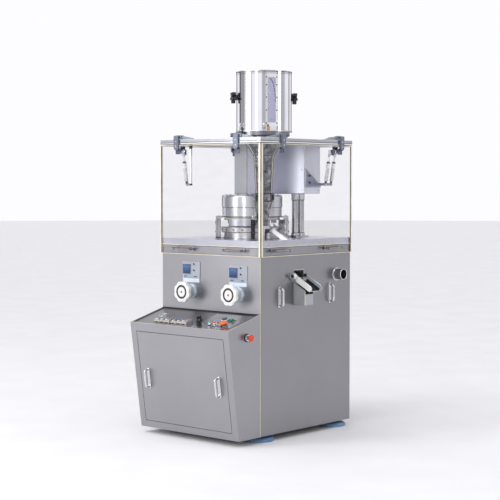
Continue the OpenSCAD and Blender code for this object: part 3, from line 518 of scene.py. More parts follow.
# ---- clear doors ----


# strips across a sheet's upright edge, outermost first: from, to, material
# the cream strips are painted highlights, the dark ones painted shade
EDGE_BANDS = ((0, 3.4, EDGE_HIGHLIGHT), (3.4, 4.4, SHADE_LINE))
CORNER_BANDS = ((0, 1, SHADE_LINE), (1, 4.6, EDGE_HIGHLIGHT), (4.6, 8.4, BRIGHT), (8.4, 12, EDGE_HIGHLIGHT), (12, 13, SHADE_LINE))


def door(side, k):
    """An acrylic sheet with painted highlights and painted shade lines along its edges, wider where two doors
    meet in front.
    """
    node = f"{side}_door"
    a, b = (list(corner) for corner in box_mm(node))
    # the sheet runs along X on the front and rear, along Y on the sides
    run = k % 2
    ends = [EDGE_BANDS, EDGE_BANDS]
    if k < 2:
        ends[1 - k] = CORNER_BANDS
    parts = []
    for end, bands in enumerate(ends):
        for near, far, material in bands:
            p, q = list(a), list(b)
            if end:
                p[run], q[run] = b[run] - far, b[run] - near
            else:
                p[run], q[run] = a[run] + near, a[run] + far
            parts.append((block(p, q), HERE, material))
        a[run] += bands[-1][1] * (1 - end)
        b[run] -= bands[-1][1] * end
    # painted highlight and painted shade line along the top and bottom edges
    for z0, z1, material in ((0, 2.6, EDGE_HIGHLIGHT), (2.6, 3.4, SHADE_LINE)):
        parts.append((block((a[0], a[1], a[2] + z0), (b[0], b[1], a[2] + z1)), HERE, material))
        parts.append((block((a[0], a[1], b[2] - z1), (b[0], b[1], b[2] - z0)), HERE, material))
    parts.append((block((a[0], a[1], a[2] + 3.4), (b[0], b[1], b[2] - 3.4)), HERE, CLEAR))
    make(f"{side}_acrylic", node, parts, 0, (node,))


for k, side in enumerate(SIDES):
    door(side, k)


# ---- hinge clips, lugs and low handles of the doors ----


def clip_outline():
    """A clip's front plate: square top, rounded lower end."""
    outline = [(CLIP_HALF, CLIP_TOP), (-CLIP_HALF, CLIP_TOP)]
    for i in range(13):
        a = math.radians(180 + 15 * i)
        outline.append((CLIP_HALF * math.cos(a), CLIP_FOOT + CLIP_HALF + CLIP_HALF * math.sin(a)))
    return outline


def hinge_clip(pin):
    """A door's clip with its knuckle; pin is the place of the hinge axis."""
    barrel = [(4.2, -15), (8.4, -15), (9, -14.4), (9, -5.4), (8.2, -5),
              (8.2, 5), (9, 5.4), (9, 14.4), (8.4, 15), (4.2, 15)]
    plate = pin @ at(0, 0, 0, TO_FRONT)
    raised = [(x * 0.8, z * 0.8 - 5) for x, z in clip_outline()]
    parts = [
        (block((-CLIP_HALF, -1, -5), (CLIP_HALF, 12, 5)), pin, CLIP),
        (lathe(barrel, 32), pin @ at(0, 12, 0, TO_RIGHT), KNUCKLE),
        (prism(clip_outline(), 1, 9), plate, CLIP),
        (prism(raised, 8, 9.6), plate, CLIP),
        # pale line along the plate's right edge: a painted highlight
        (block((13.2, -9.3, -50), (14.8, -8.6, 4)), pin, KNUCKLE),
    ]
    for z in (-22, -46):
        parts.append((screw(3.6, 1.6), pin @ at(0, -8.8, z, TO_FRONT), POLISHED))
    parts += blocks(pin, (
        ((-CLIP_HALF, -1, CLIP_FOOT), (CLIP_HALF, 0.2, -40), RUBBER),
        ((-CLIP_HALF, 5, -83), (CLIP_HALF, 9, -55), CLIP),
    ))
    return parts


def strut_lug(place, s, towards):
    """The plate, block and stud that hold a strut's eye, s from the clip's middle."""
    parts = []
    for near, y0, y1, half, material in ((22, 5, 9, 14, CLIP), (14, 9, 27, 8, FRAME_PAINT)):
        x0, x1 = sorted((towards * (s - near), towards * (s - 6)))
        parts.append((block((x0, y0, -half), (x1, y1, half)), place, material))
    x0, x1 = sorted((towards * (s - 6), towards * (s - 4.6)))
    parts.append((rod(4, x0, x1, 0.3), place @ at(0, 19, 0, TO_RIGHT), POLISHED))
    return parts


def low_grip(place, ball_x):
    """A bar handle on two feet, with a black ball at ball_x."""
    bar = [(-66 + 4 * i, -18, 0) for i in range(34)]
    foot = [(0, 0), (8, 0), (8, 1.6), (5.2, 3), (4.4, 6), (4.4, 15), (0, 15)]
    sleeve = [(4.6, -2), (5.9, -1.2), (5.9, 1.2), (4.6, 2)]
    ball = [(5.9 * math.sin(math.pi * i / 12), -5.9 * math.cos(math.pi * i / 12)) for i in range(1, 12)]
    parts = [(tube(bar, 5.0, 18), place, GRIP)]
    for x in (-52, 52):
        parts.append((lathe(foot, 28), place @ at(x, 0, 0, TO_FRONT), GRIP))
        parts.append((lathe(sleeve, 28), place @ at(x, -18, 0, TO_RIGHT), BLACK))
    parts.append((lathe([(0, -5.9)] + ball + [(0, 5.9)], 28), place @ at(ball_x, -18, 0, TO_RIGHT), BLACK))
    return parts


def door_fittings(k, edge, clips, grips, struts=(), towards=1):
    """One door's clips, lugs and grips; clips and grips are places along the side."""
    side = SIDES[k]
    turn = SIDE_TURN[k]
    parts = []
    for u in clips:
        parts += hinge_clip(turn @ at(u, -edge, PIN_Z))
    for s in struts:
        parts += strut_lug(turn @ at(clips[0], -edge, PIN_Z - 69), s, towards)
    for u in grips:
        parts += low_grip(turn @ at(u, -edge, GRIP_Z), 60 if k % 2 == 0 else -60)
    name = f"{side}_door_fittings"
    make(f"{side}_clips_and_grips", f"{side}_door", parts, 0.6, (name,))


door_fittings(0, HALF_D + DOOR_OUT, (-211, 176), (-161, 168), (22,), 1)
door_fittings(1, HALF_W + DOOR_OUT, (255, -187), (186, -210), (22, 64), -1)
door_fittings(2, HALF_D + DOOR_OUT, (-215, 176), (-168, 161))
door_fittings(3, HALF_W + DOOR_OUT, (-187, 187), (-186, 210))


# ---- handwheels ----


def handwheel(name, node):
    """A scalloped white wheel with a black ring round its dial."""
    low, high = box_mm(node)
    place = at((low.x + high.x) / 2, low.y + 22, (low.z + high.z) / 2, TO_FRONT)
    outline = []
    for i in range(160):
        a = 2 * math.pi * i / 160
        r = 45.6 + 5.2 * (0.5 - 0.5 * math.cos(8 * a)) ** 0.6
        outline.append((r * math.cos(a), r * math.sin(a)))
    rim = [(43, 17), (43, 19), (41.6, 20.2), (34, 20.2), (33, 19.4), (33, 14), (24, 14), (24, 17)]
    band = [(24.4, 15), (33, 15), (33, 20.4), (32.2, 21.2), (25.2, 21.2), (24.4, 20.4)]
    dial = [(0, 14), (24.4, 14), (24.4, 19.4), (0, 19.8)]
    parts = [
        (prism(outline, 2, 18), place, WHITE),
        (lathe(rim, 64), place, WHITE),
        (lathe(band, 72), place, BLACK),
        (lathe(dial, 64), place, IVORY),
    ]
    for i in range(20):
        mark = block((21.2 if i % 5 else 19.4, -0.35, 19.4), (23.6, 0.35, 19.95))
        parts.append((mark, place @ spin(18 * i), TEAL))
    parts.append((block((-0.6, 5, 19.4), (0.6, 17, 20.3)), place @ spin(-40), IVORY))
    parts.append((rod(5.5, 19, 21.8, 1.2), place, RED))
    parts.append((rod(15, -3, 3, 1), place, POLISHED))
    parts.append((rod(8, -140, 0), place, POLISHED))
    make(name, node, parts, 0.9, (node,), 40)


handwheel("fill_wheel", "fill_handwheel")
handwheel("pressure_wheel", "pressure_handwheel")


# ---- counters ----

parts = []
for x, z in COUNTERS:
    face = at(x, -HALF_D, z, TO_FRONT)
    parts += blocks(face, (
        ((-53, -19, 6.6), (-5, 26, 8.2), NAVY),
        ((-49, 5, 8.0), (-9, 23, 8.6), LCD),
    ))
    for row in range(2):
        for col in range(4):
            digit = block((-46.5 + col * 9, 7 + row * 7.6, 8.4), (-41 + col * 9, 12.4 + row * 7.6, 8.9))
            parts.append((digit, face, NAVY))
    for col in range(4):
        parts += blocks(face, (
            ((-49 + col * 10.4, -15, 8), (-42 + col * 10.4, -7, 9.6), TEAL),
            ((-48 + col * 10.4, -4, 8), (-43 + col * 10.4, 1, 8.8), LCD),
        ))
    for v in (28, -2):
        parts.append((rod(4.6, 5, 8.0, 1.2), face @ at(18, v, 0), BLACK))
        bezel = [(5, 2.6), (7.0, 2.6), (7.0, 4.0), (6.4, 4.6), (5, 4.6)]
        parts.append((lathe(bezel, 28), face @ at(18, v, 0), POLISHED))
    for u in (-40, 26):
        parts.append((block((u - 9, -34, 2.6), (u + 9, -30, 3.5)), face, BLACK))
    for u, v in ((-54, -34), (52, -34), (-54, 34), (52, 34)):
        parts.append((screw(2.0, 1.2), face @ at(u, v, 3), POLISHED))
    parts.append((block((-58, -60, 1.6), (52, -41, 2.8)), face, LABEL))
    for u in (-54, 48):
        parts.append((screw(1.5, 1), face @ at(u, -50, 2.6), POLISHED))
make("counter_details", "frame", parts, 0.25)

# ---- console ----

parts = []
for x in INSTRUMENTS_X:
    top = on_console(x, INSTRUMENTS_S, 18)
    parts += blocks(top, (
        ((-50, -18, -0.4), (50, 18, 0.8), STAINLESS),
        ((-45, 2, 0.6), (-2, 15, 1.4), BLACK),
        ((-43, 4, 1.2), (-4, 13, 1.7), LCD),
    ))
    for col in range(8):
        key = block((-45 + col * 10.6, -14, 0.6), (-37 + col * 10.6, -6, 2.2))
        parts.append((key, top, (WHITE, COUNTER, BLACK)[col % 3]))
    for u, lens in ((10, BLACK), (24, BLACK), (38, LAMP_RED)):
        parts.append((rod(3.4, 0.6, 2.8, 0.8), top @ at(u, 9, 0), lens))
    # bright folded edge in front drawn as a painted highlight, dark seal behind, mottled label strip on the
    # front face
    parts += blocks(top, (
        ((-53.4, -21.5, -5.4), (53.4, -20.6, -3.4), EDGE_HIGHLIGHT),
        ((-53.4, 20.6, -17.6), (53.4, 21.6, -3.6), BLACK),
    ))
    for col in range(9):
        tab = block((-49 + col * 11.4, -21.8, -14 + col % 2 * 2), (-41 + col * 11.4, -20.8, -8))
        parts.append((tab, top, (STAINLESS, BLACK, COUNTER)[col % 3]))
    parts.append((rod(2.6, 0, 1.4, 0.5), top @ at(48, -21, -11, TO_FRONT), LAMP_RED))
    for u, v in ((-49.5, -17.5), (49.5, -17.5), (-49.5, 17.5), (49.5, 17.5)):
        parts.append((screw(1.4, 1), top @ at(u, v, 0.4), POLISHED))
parts.append((block((-74, -21.4, -18), (-70, 21.4, -2.6)), on_console(0, INSTRUMENTS_S, 18), BLACK))
# a generic badge, a small diamond in a ring, beside the instruments
badge = on_console(-222, 92, 0)
parts.append((lathe([(19, 0), (23, 0), (23, 1.4), (22, 2), (20, 2), (19, 1.4)], 48), badge, POLISHED))
parts.append((prism([(0, -14), (11, 0), (0, 14), (-11, 0)], 0, 1.6), badge, COUNTER))
# bezels, lamps and keys on the button plate
for x, s, r in (JOG, START, STOP):
    collar = [(r + 0.7, 7.4), (r + 4, 7.4), (r + 4, 8.6), (r + 3, 9.4), (r + 0.7, 9.0)]
    seal = [(r + 4, 2.6), (r + 6.4, 2.6), (r + 6.4, 4), (r + 4, 4.8)]
    parts.append((lathe(collar, 40), on_console(x, s, 0), WHITE if r > 12 else BLACK))
    parts.append((lathe(seal, 40), on_console(x, s, 0), BLACK))
for (x, s), lens in zip(LAMP_PLACES, (LAMP_GREEN, LAMP_RED)):
    dome = [(0, 8), (7.2, 8), (7.2, 13.5), (5.5, 16), (2.5, 17.2), (0, 17.6)]
    bezel = [(7.5, 6), (10.2, 6), (10.2, 8.6), (9.4, 9.4), (7.5, 9.4)]
    parts.append((lathe(dome, 32), on_console(x, s, 0), lens))
    parts.append((lathe(bezel, 32), on_console(x, s, 0), POLISHED))
for x, s in KEY_PLACES:
    key = on_console(x, s, 0)
    parts.append((lathe([(3.2, 12.8), (8.2, 12.8), (8.2, 13.6), (7.4, 14.2), (3.2, 14.2)], 32), key, BLACK))
    parts.append((block((-0.7, -3, 13), (0.7, 3, 14.6)), key, POLISHED))
for u, v in ((-103, -89), (103, -89), (-103, 89), (103, 89), (0, 89), (0, -89)):
    parts.append((screw(2.2), on_console(BUTTON_PLATE_X + u, BUTTON_PLATE_S - v, 3), POLISHED))
# small plain plates beside the buttons
for x, s, w in ((144, 137, 9), (174, 135, 9), (181, 181, 12), (227, 181, 12), (238, 90, 11), (189, 80, 13)):
    parts.append((block((-w, -2.6, 2.9), (w, 2.6, 3.8)), on_console(x, s, 0), NAVY))
# dial ring round the speed knob
for i in range(11):
    place = on_console(*SPEED_KNOB, 0) @ spin(-135 + 27 * i)
    parts.append((block((-0.6, 18, 0), (0.6, 22.5, 0.7)), place, BLACK))
make("console_details", "frame", parts, 0.3)


def knob(name, node, place, base):
    """A fluted rotary knob with a pointer bar."""
    top = on_console(*place, base)
    parts = [
        (lathe([(0, 0), (13, 0), (13, 3), (12, 4.6), (0, 5.2)], 48), top, BLACK),
        (prism(lobed(10.4, 0.45, 16, 96), 4.5, 18.6), top, BLACK),
        (block((-2.6, -12, 18.4), (2.6, 12, 23.6)), top, BLACK),
        (block((-0.6, 2, 23.4), (0.6, 11.6, 24.0)), top, WHITE),
    ]
    make(name, node, parts, 0.6, (node,))


knob("speed_knob_cap", "speed_knob", SPEED_KNOB, 0.5)
knob("mode_knob_cap", "mode_knob", MODE_KNOB, 3.5)


def dome_button(name, node, place, material):
    """A push button's cap with a rounded rim round its dished top."""
    x, s, r = place
    profile = [(0, 0), (r - 0.1, 0), (r, 6.5), (r - 0.7, 8.2), (r - 1.9, 8.9), (r - 2.9, 8.6), (0, 8.0)]
    make(name, node, [(lathe(profile, 40), on_console(x, s, 7), material)], 0, (node,))


dome_button("start_cap", "start_button", START, GREEN)
dome_button("jog_cap", "jog_button", JOG, TEAL)


def mushroom(stem_r, stem_h, head_r, head_h):
    """A mushroom head with a rolled edge on its stem."""
    profile = [(0, 0), (stem_r, 0), (stem_r, stem_h), (head_r - 2.5, stem_h),
               (head_r - 0.6, stem_h + 0.9), (head_r, stem_h + 3)]
    for i in range(1, 10):
        a = math.radians(90 * i / 9)
        profile.append((head_r * math.cos(a) if i < 9 else 0, stem_h + 3 + (head_h - 3) * math.sin(a)))
    return lathe(profile, 48)


stop_head = (mushroom(8, 8, 20, 12), on_console(STOP[0], STOP[1], 8), ORANGE)
make("stop_mushroom", "stop_button", [stop_head], 0, ("stop_button",))
low, high = box_mm("estop_head")
estop_y, estop_z = (low.y + high.y) / 2, (low.z + high.z) / 2
estop = at(low.x, estop_y, estop_z, TO_RIGHT)
make("estop_mushroom", "estop", [(mushroom(7, 17, 16.5, 12), estop, RED)], 0, ("estop_head",))
collar_place = at(HALF_W, estop_y, estop_z, TO_RIGHT)
make("estop_collar_trim", "frame", [
    (lathe([(11.1, 6), (15.2, 6), (15.2, 7.4), (14.2, 8.4), (11.1, 8.4)], 40), collar_place, POLISHED),
    (lathe([(15.2, 0), (20, 0), (20, 1.2), (19.2, 1.8), (15.2, 1.8)], 40), collar_place, BLACK),
], 0.2)

# ---- console front panel, with its two bow handles ----

hatch = on_hatch(0, 0)
inside = HATCH_HALF - 4
parts = [
    (block((-HATCH_HALF, 0, HATCH_LOW), (HATCH_HALF, 3, HATCH_HIGH)), hatch, SHEET),
    # folded lip and seal seen in the gap round the panel
    (block((-inside, 3, HATCH_LOW + 4), (inside, 5, HATCH_LOW + 8)), hatch, RUBBER),
]
# painted shade line along the panel's four edges
for x0, x1, z0, z1 in (
        (-HATCH_HALF, HATCH_HALF, 471.6, 473.4), (-HATCH_HALF, HATCH_HALF, 33.6, 35.2),
        (-HATCH_HALF, -HATCH_HALF + 1.7, 35.2, 471.6), (HATCH_HALF - 1.7, HATCH_HALF, 35.2, 471.6)):
    parts.append((block((x0, -0.5, z0), (x1, 0, z1)), hatch, SHADE_LINE))
for x in HATCH_HANDLES_X:
    place = on_hatch(x, HATCH_HANDLE_UP) @ spin(-90)
    parts.append((bow(98), place, CHROME))
    parts += oblong_plate(place @ at(0, 0, 0, (90, 0, 90)))
    foot = [(5.8, 0), (10, 0), (10, 1.6), (9, 2.6), (6, 3)]
    for z in (-41, 41):
        parts.append((lathe(foot, 28), place @ at(0, 0, z, TO_RIGHT), POLISHED))
make("console_panel_sheet", "console_panel", parts, 0.7, ("console_front_panel",))
# painted shade: a dark strip behind the gap round the panel
parts = []
for x0, x1, z0, z1 in ((-283.5, 283.5, 31.2, 34.2), (-283.5, 283.5, 472.9, 475.8),
                       (-283.6, -281, 31.2, 475.8), (281, 283.6, 31.2, 475.8)):
    parts.append((block((x0, 2.2, z0), (x1, 2.9, z1)), hatch, RUBBER))
# bright folded edges of the console's rim drawn as painted highlights, with a dark line inside them and along
# the cabinet
parts += blocks(on_console(0, 0, 0), (
    ((-317.8, -224, 3.6), (-316.2, 0, 4.5), EDGE_HIGHLIGHT),
    ((316.2, -224, 3.6), (317.8, 0, 4.5), EDGE_HIGHLIGHT),
    ((-317.8, -225.6, 3.6), (317.8, -224, 4.5), EDGE_HIGHLIGHT),
    ((-308, -215, 0), (-306.6, 0, 1), RUBBER),
    ((306.6, -215, 0), (308, 0, 1), RUBBER),
    ((-308, -216.2, 0), (308, -215, 1), RUBBER),
    ((-317, -1.4, 0), (317, -0.2, 6), RUBBER),
))
make("console_gap_shade_and_rim_highlights", "frame", parts)

# ---- right panel fittings ----

parts = []
for y in SIDE_HANDLES_Y:
    place = at(HALF_W, y, SIDE_HANDLE_Z)
    parts.append((bow(96), place, CHROME))
    foot = [(5.8, 0), (10.5, 0), (10.5, 1.6), (9.4, 2.8), (6, 3.2)]
    for z in (-40, 40):
        parts.append((lathe(foot, 28), place @ at(0, 0, z, TO_RIGHT), POLISHED))
make("side_bow_handles", "side_panel", parts, 0, ("side_panel_handles",))

port = at(HALF_W, PORT_Y, PORT_Z, TO_RIGHT)
port_flange = [(25.9, 0), (33, 0), (33, 1.5), (31.5, 3), (27, 4), (25.9, 4)]
port_lip = [(23.4, 41), (23.4, 44), (24.2, 45.2), (26.2, 45.2), (27.2, 43.6), (26.6, 41.6), (26, 41)]
parts = [
    (lathe(port_flange, 56), port, STAINLESS),
    (lathe(port_lip, 56), port, POLISHED),
    # dark disc in the port's bore: painted shade
    (ring(0, 23.3, -2.6, -1.6, 40), port, RUBBER),
]
# folded lip round the chute's slot
for y0, y1, z0, z1, out in ((-103.5, -24.5, 793, 796.5, 3), (-103.5, -101, 746, 796, 2.5),
                            (-27, -24.5, 746, 796, 2.5)):
    parts.append((block((HALF_W, y0, z0), (HALF_W + out, y1, z1)), HERE, STAINLESS))
# faces of the reject duct: a pale near face that is painted light, a lavender outer face, and a bright folded
# corner that is a painted highlight
duct_front = HALF_W + DUCT_REACH
duct = [(HALF_W, DUCT_LOW_Z), (duct_front, DUCT_LOW_Z), (duct_front, 699), (HALF_W, 737)]
parts += [
    (prism(duct, 0, 0.5), at(0, DUCT_Y, 0, TO_FRONT), LIT_DUCT_FACE),
    (block((duct_front + 1, -99, DUCT_LOW_Z), (duct_front + 1.5, -41, 681)), HERE, ROOF),
    (block((duct_front - 0.4, DUCT_Y - 0.9, 630), (duct_front + 1.6, DUCT_Y + 1.4, 699)), HERE, EDGE_HIGHLIGHT),
    (block((HALF_W, DUCT_Y - 0.9, 630), (HALF_W + 1.6, DUCT_Y, 736)), HERE, RUBBER),
]
for y in SIDE_HANDLES_Y:
    parts += oblong_plate(at(HALF_W, y, SIDE_HANDLE_Z, (90, 0, 90)))
make("right_panel_details", "side_panel", parts, 0.2)

# clamping knob of the trough: fluted rim with a dark centre
place = at(HALF_W + PIN_OUT, box_mm("discharge_trough")[0].y + 16, TROUGH_Z, TO_FRONT)
make("trough_knob_rim", "trough", [
    (prism(lobed(15.0, 0.5, 20, 120), 1.5, 15.5), place, POLISHED),
    (lathe([(0, 15.4), (9, 15.4), (9, 16.4), (8, 17), (0, 17.2)], 40), place, BLACK),
    (lathe([(9, 15), (13.5, 15), (13.5, 16.2), (12.5, 16.8), (9, 16.8)], 40), place, POLISHED),
], 0.5)

# painted light and shade on the trough: a white near wall and a pale far wall as painted light, a dark floor
# and dark lower walls inside as painted shadow, and bright rolled rims
trough = at(HALF_W + PIN_OUT, TROUGH_Y, TROUGH_Z, (0, TROUGH_TILT, 0))
upright = trough @ at(0, 0, 0, TO_FRONT)
tip = []
for i in range(13):
    a = math.radians(15 * i)
    tip.append((100.6 + 13.4 * math.sin(a), -8 + 13.4 * math.cos(a)))
wall = [(6, 5.4), (6, -13), (15, -21.4)] + tip[::-1]
parts = [
    (prism(wall, 39, 39.5), upright, WHITE),
    (prism(wall, -37, -36.5), upright, BOSS),
    (block((15, -36.8, -20), (103, 36.8, -19.4)), trough, RUBBER),
    (block((15, 36.2, -19.4), (103, 36.6, -9)), trough, RUBBER),
    (block((15, -36.8, -19.4), (103, -36.4, 4)), trough, RUBBER),
]
for y in (-38, 38):
    rim = [(6, y, 5.6), (60, y, 5.6), (101, y, 5.4)]
    for i in range(1, 7):
        a = math.radians(15 * i)
        rim.append((100.2 + 12.6 * math.sin(a), y, -8 + 12.6 * math.cos(a)))
    parts.append((tube(rim, 1.3, 10), trough, BRIGHT))
make("trough_painted_light_and_shade", "trough", parts)

# ---- powder drum ----

Z0, Z1 = (corner.z for corner in box_mm("hopper_drum"))
drum = at(DRUM_X, DRUM_Y, 0)
bead = [(131.4, Z1 - 7), (133.0, Z1 - 6), (133.3, Z1 - 3.4), (132.6, Z1 - 0.8), (131.4, Z1 - 0.2)]
foot_band = [(131.4, Z0 + 0.4), (133.2, Z0 + 0.4), (133.2, Z0 + 7), (131.4, Z0 + 8)]
parts = [
    (lathe(bead, 120), drum, POLISHED),
    (lathe(foot_band, 120), drum, STAINLESS),
    # weld seam at the back
    (ring(131.3, 131.9, Z0 + 8, Z1 - 7, 4, 147, 1.2), drum, STAINLESS),
    # dark outlines of the rim
    (ring(132, 133.7, Z1 - 2.6, Z1 - 0.2, 120), drum, RUBBER),
    (ring(131.4, 132, Z1 - 10, Z1 - 8.8, 120), drum, RUBBER),
]
# black gasket under the flange plate and at the drum's foot
for x, r in ((0, 122.5), (-115, 75.5)):
    parts.append((ring(r - 20, r, Z0 - 17.4, Z0 - 14.6, 96), drum @ at(x, 0, 0), RUBBER))
parts.append((ring(133.0, 133.8, Z0 + 0.4, Z0 + 2.4, 120), drum, RUBBER))
# window frame screws
for side in (-10.6, 10.6):
    turn = drum @ spin(WINDOW_TURN + side)
    for z in (Z0 + 40, Z0 + 100, Z0 + 160, Z0 + 218, Z0 + 254):
        parts.append((screw(3.0, 2.0), turn @ at(DRUM_R + 3, 0, z, TO_RIGHT), RUBBER))
# draw latches with their hooks
for a in (-49, -101, 131, 79):
    turn = drum @ spin(a)
    hook = [(DRUM_R + 9.5, 0, Z0 + 4)] + arc((DRUM_R + 6.5, 0, Z0 + 34), 6.0, -60, 140, 9)
    parts.append((block((DRUM_R + 0.4, -6, Z0 + 22), (DRUM_R + 3, 6, Z0 + 46)), turn, STAINLESS))
    parts.append((tube(hook, 1.9, 10), turn, POLISHED))
    parts.append((rod(3.4, -8, 8, 0.6, 20), turn @ at(DRUM_R + 9.5, 0, Z0 + 6, TO_FRONT), POLISHED))
# copper tag and its dark clip at the window's foot
tag = block((DRUM_R + 3.2, -5, Z0 + 8), (DRUM_R + 6, 7, Z0 + 25))
tag_clip = block((DRUM_R + 3.2, -4, Z0 + 24), (DRUM_R + 5, 4, Z0 + 34))
parts.append((tag, drum @ spin(-40), COPPER))
parts.append((tag_clip, drum @ spin(-41), FRAME_PAINT))
make("drum_details", "frame", parts, 0.3)

# dark seal from the pane's top, curving down its right side
seal = []
for i in range(17):
    quarter = math.pi / 2 * i / 16
    a = math.radians(WINDOW_TURN - 5 + 12.5 * math.sin(quarter))
    seal.append((134.2 * math.cos(a), 134.2 * math.sin(a), Z1 - 34 - 110 * (1 - math.cos(quarter))))
make("drum_window_pane", "frame", [
    (ring(133.55, 134.1, Z0 + 43, Z1 - 31, 20, WINDOW_TURN - 8.3, 16.6), drum, WINDOW),
    (ring(127.6, 128.6, Z0 + 37, Z1 - 25, 20, WINDOW_TURN - 9.8, 19.6), drum, LABEL),
    (tube(seal, 1.0, 8), drum, RUBBER),
    (ring(133.6, 134.4, Z1 - 31, Z1 - 25, 12, WINDOW_TURN - 7, 13), drum, RUBBER),
])


def star_knob(side, turn):
    """A five-lobed knob on its stem."""
    node = f"drum_knob_{side}"
    place = drum @ at(0, 0, STAR_KNOB_Z, (0, 0, turn)) @ at(DRUM_R, 0, 0, TO_RIGHT)
    parts = [
        (rod(5, -12, 8), place, POLISHED),
        (rod(14, 2, 8, 1), place, BLACK),
        (rod(11, 7, 11, 1), place, BLACK),
        (prism(lobed(20.0, 8.6, 5, 120), 10, 28.5), place, BLACK),
        (lathe([(0, 28), (10, 28), (9.4, 29.4), (0, 29.8)], 32), place, BLACK),
    ]
    make(f"{side}_star_knob", node, parts, 2.2, (node,), 45)


star_knob("left", 236.6)
star_knob("right", 56.6)

# ---- press head details ----

turret = at(0, TURRET_Y, 0)
parts = []
# screws on top of the cam cover, dark rings round it
for i in range(16):
    place = turret @ at(0, 0, COVER_TOP_Z, (0, 0, 22.5 * i + 8)) @ at(128, 0, 0)
    parts.append((screw(3.4, 2.4), place, FRAME_PAINT))
parts.append((ring(COVER_R + 0.4, COVER_R + 2.6, 1086, 1087.8, 120), turret, RUBBER))
parts.append((ring(COVER_R, COVER_R + 1, 1039.4, 1044, 120), turret, RUBBER))
# banded guard plate in front of the punches, its pale band a painted highlight
for z0, z1, material in ((995.2, 998, RUBBER), (998, 1032, ROOF), (1032, 1034, EDGE_HIGHLIGHT), (1034, 1036.6, RUBBER)):
    parts.append((ring(COVER_R, COVER_R + 0.9, z0, z1, 24, -100, 49), turret, material))
# dark stripes, foot and screws of the four short posts that carry the cam cover
for k in range(4):
    turn = turret @ spin(90 * k - 47)
    for z in (968, 1012):
        parts.append((screw(4.2, 3), turn @ at(178, 0, z, TO_RIGHT), FRAME_PAINT))
    for x in (153.6, 161, 168, 175.8):
        parts.append((block((x, -9.4, DECK_Z + 3), (x + 2.2, 9.4, 1030)), turn, RUBBER))
    parts.append((block((153, -10, DECK_Z), (179, 10, DECK_Z + 3)), turn, RUBBER))
    parts.append((screw(5, 4), turn @ at(166, 0, 1045), POLISHED))
# dark rings of the columns, dark stripes along them as painted reflections, screws in their feet
column_rings = ((DECK_Z + 10.2, 20.5), (DECK_Z + 20.4, 20.5), (DECK_Z + 22.2, 17), (COLUMN_TOP_Z, 17),
                (COLUMN_TOP_Z + 3.6, 19.5), (COLUMN_TOP_Z + 31, 19.5))
for x in (-COLUMN_X, COLUMN_X):
    for y in COLUMNS_Y:
        for z, r in column_rings:
            parts.append((ring(r - 1.6, r, z, z + 1.6, 36), at(x, y, 0), RUBBER))
        reflection_stripe = block((15.6, -0.9, DECK_Z + 24), (16.3, 0.9, COLUMN_TOP_Z))
        for k in range(8):
            parts.append((reflection_stripe, at(x, y, 0, (0, 0, 45 * k + 12)), RUBBER))
for x in (-COLUMN_X, COLUMN_X):
    for u in (-20, 20):
        parts.append((screw(5, 4), at(x + u, 160, DECK_Z + 10), POLISHED))
# screws of the gusset on the housing's right side
for z in (1241, 1207):
    parts.append((screw(5.5, 3.5), at(231, 127, z, TO_RIGHT), BLACK))
# dark clamping collar of the feed funnel, with pale lines down its cone as painted highlights
for z0, z1, r in ((1117, 1121, 45), (1152, 1156.6, 45), (1134, 1136, 44.8), (1334, 1336, 51.4)):
    parts.append((ring(r - 2, r, z0, z1, 64), drum, RUBBER))
for a in (-110, 10, 100):
    turn = drum @ spin(a)
    parts.append((tube([(41, 0, 1158), (50.4, 0, 1334)], 1.1, 8), turn, EDGE_HIGHLIGHT))
    parts.append((tube([(50.4, 0, 1336), (89.6, 0, ROOF_LOW_Z - 1)], 1.1, 8), turn, EDGE_HIGHLIGHT))
    parts.append((block((43, -6, 1124), (50, 6, 1148)), drum @ spin(a + 10), RUBBER))
# painted shade on the upper housing's narrow front arm, a painted highlight on its right corner, with seams
# and screws
top_z = ROOF_LOW_Z - 1
parts += blocks(HERE, (
    ((-ARM_HALF, ARM_Y - 0.5, HOUSING_Z - 0.5), (ARM_HALF, ARM_Y, top_z), SHADE),
    ((ARM_HALF - 1, ARM_Y - 0.7, HOUSING_Z), (ARM_HALF + 0.8, ARM_Y + 1, top_z), RUBBER),
    ((-ARM_HALF - 0.6, ARM_Y - 0.7, HOUSING_Z - 2), (ARM_HALF + 0.6, ARM_Y, HOUSING_Z + 0.4), RUBBER),
    ((0.6 - HOUSING_HALF, HOUSING_Y - 1, HOUSING_Z), (HOUSING_HALF - 0.6, HOUSING_Y, HOUSING_Z + 2), RUBBER),
    ((HOUSING_HALF - 2, HOUSING_Y - 1, HOUSING_Z + 2), (HOUSING_HALF - 0.4, HOUSING_Y, top_z), EDGE_HIGHLIGHT),
))
for x in (-205, 205):
    for z in (1170, 1270, 1376):
        parts.append((screw(3.2, 2), at(x, HOUSING_Y, z, TO_FRONT), POLISHED))
for y in (112, 208):
    for z in (1170, 1376):
        parts.append((screw(3.2, 2), at(HOUSING_HALF, y, z, TO_RIGHT), POLISHED))
make("press_head_details", "frame", parts, 0.3)

# die table lock screws and bands turn with the turret
lock_screw = [(0, 148.4), (4.6, 148.4), (4.6, 150.6), (3.8, 151.2), (2.0, 151.2), (2.0, 149), (0, 149)]
parts = []
for i in range(STATIONS):
    place = turret @ at(0, 0, DIE_Z, (0, 0, (i + 0.5) * 360 / STATIONS)) @ at(0, 0, 0, TO_RIGHT)
    parts.append((lathe(lock_screw, 20), place, RUBBER))
for z0, z1, material in ((966, 968, RUBBER), (968, 969.4, BRONZE), (990.4, 992, RUBBER)):
    parts.append((ring(DIE_TABLE_R, DIE_TABLE_R + 0.8, z0, z1, 120), turret, material))
make("table_lock_screws", "turret", parts)

# ---- deck and roof trims ----

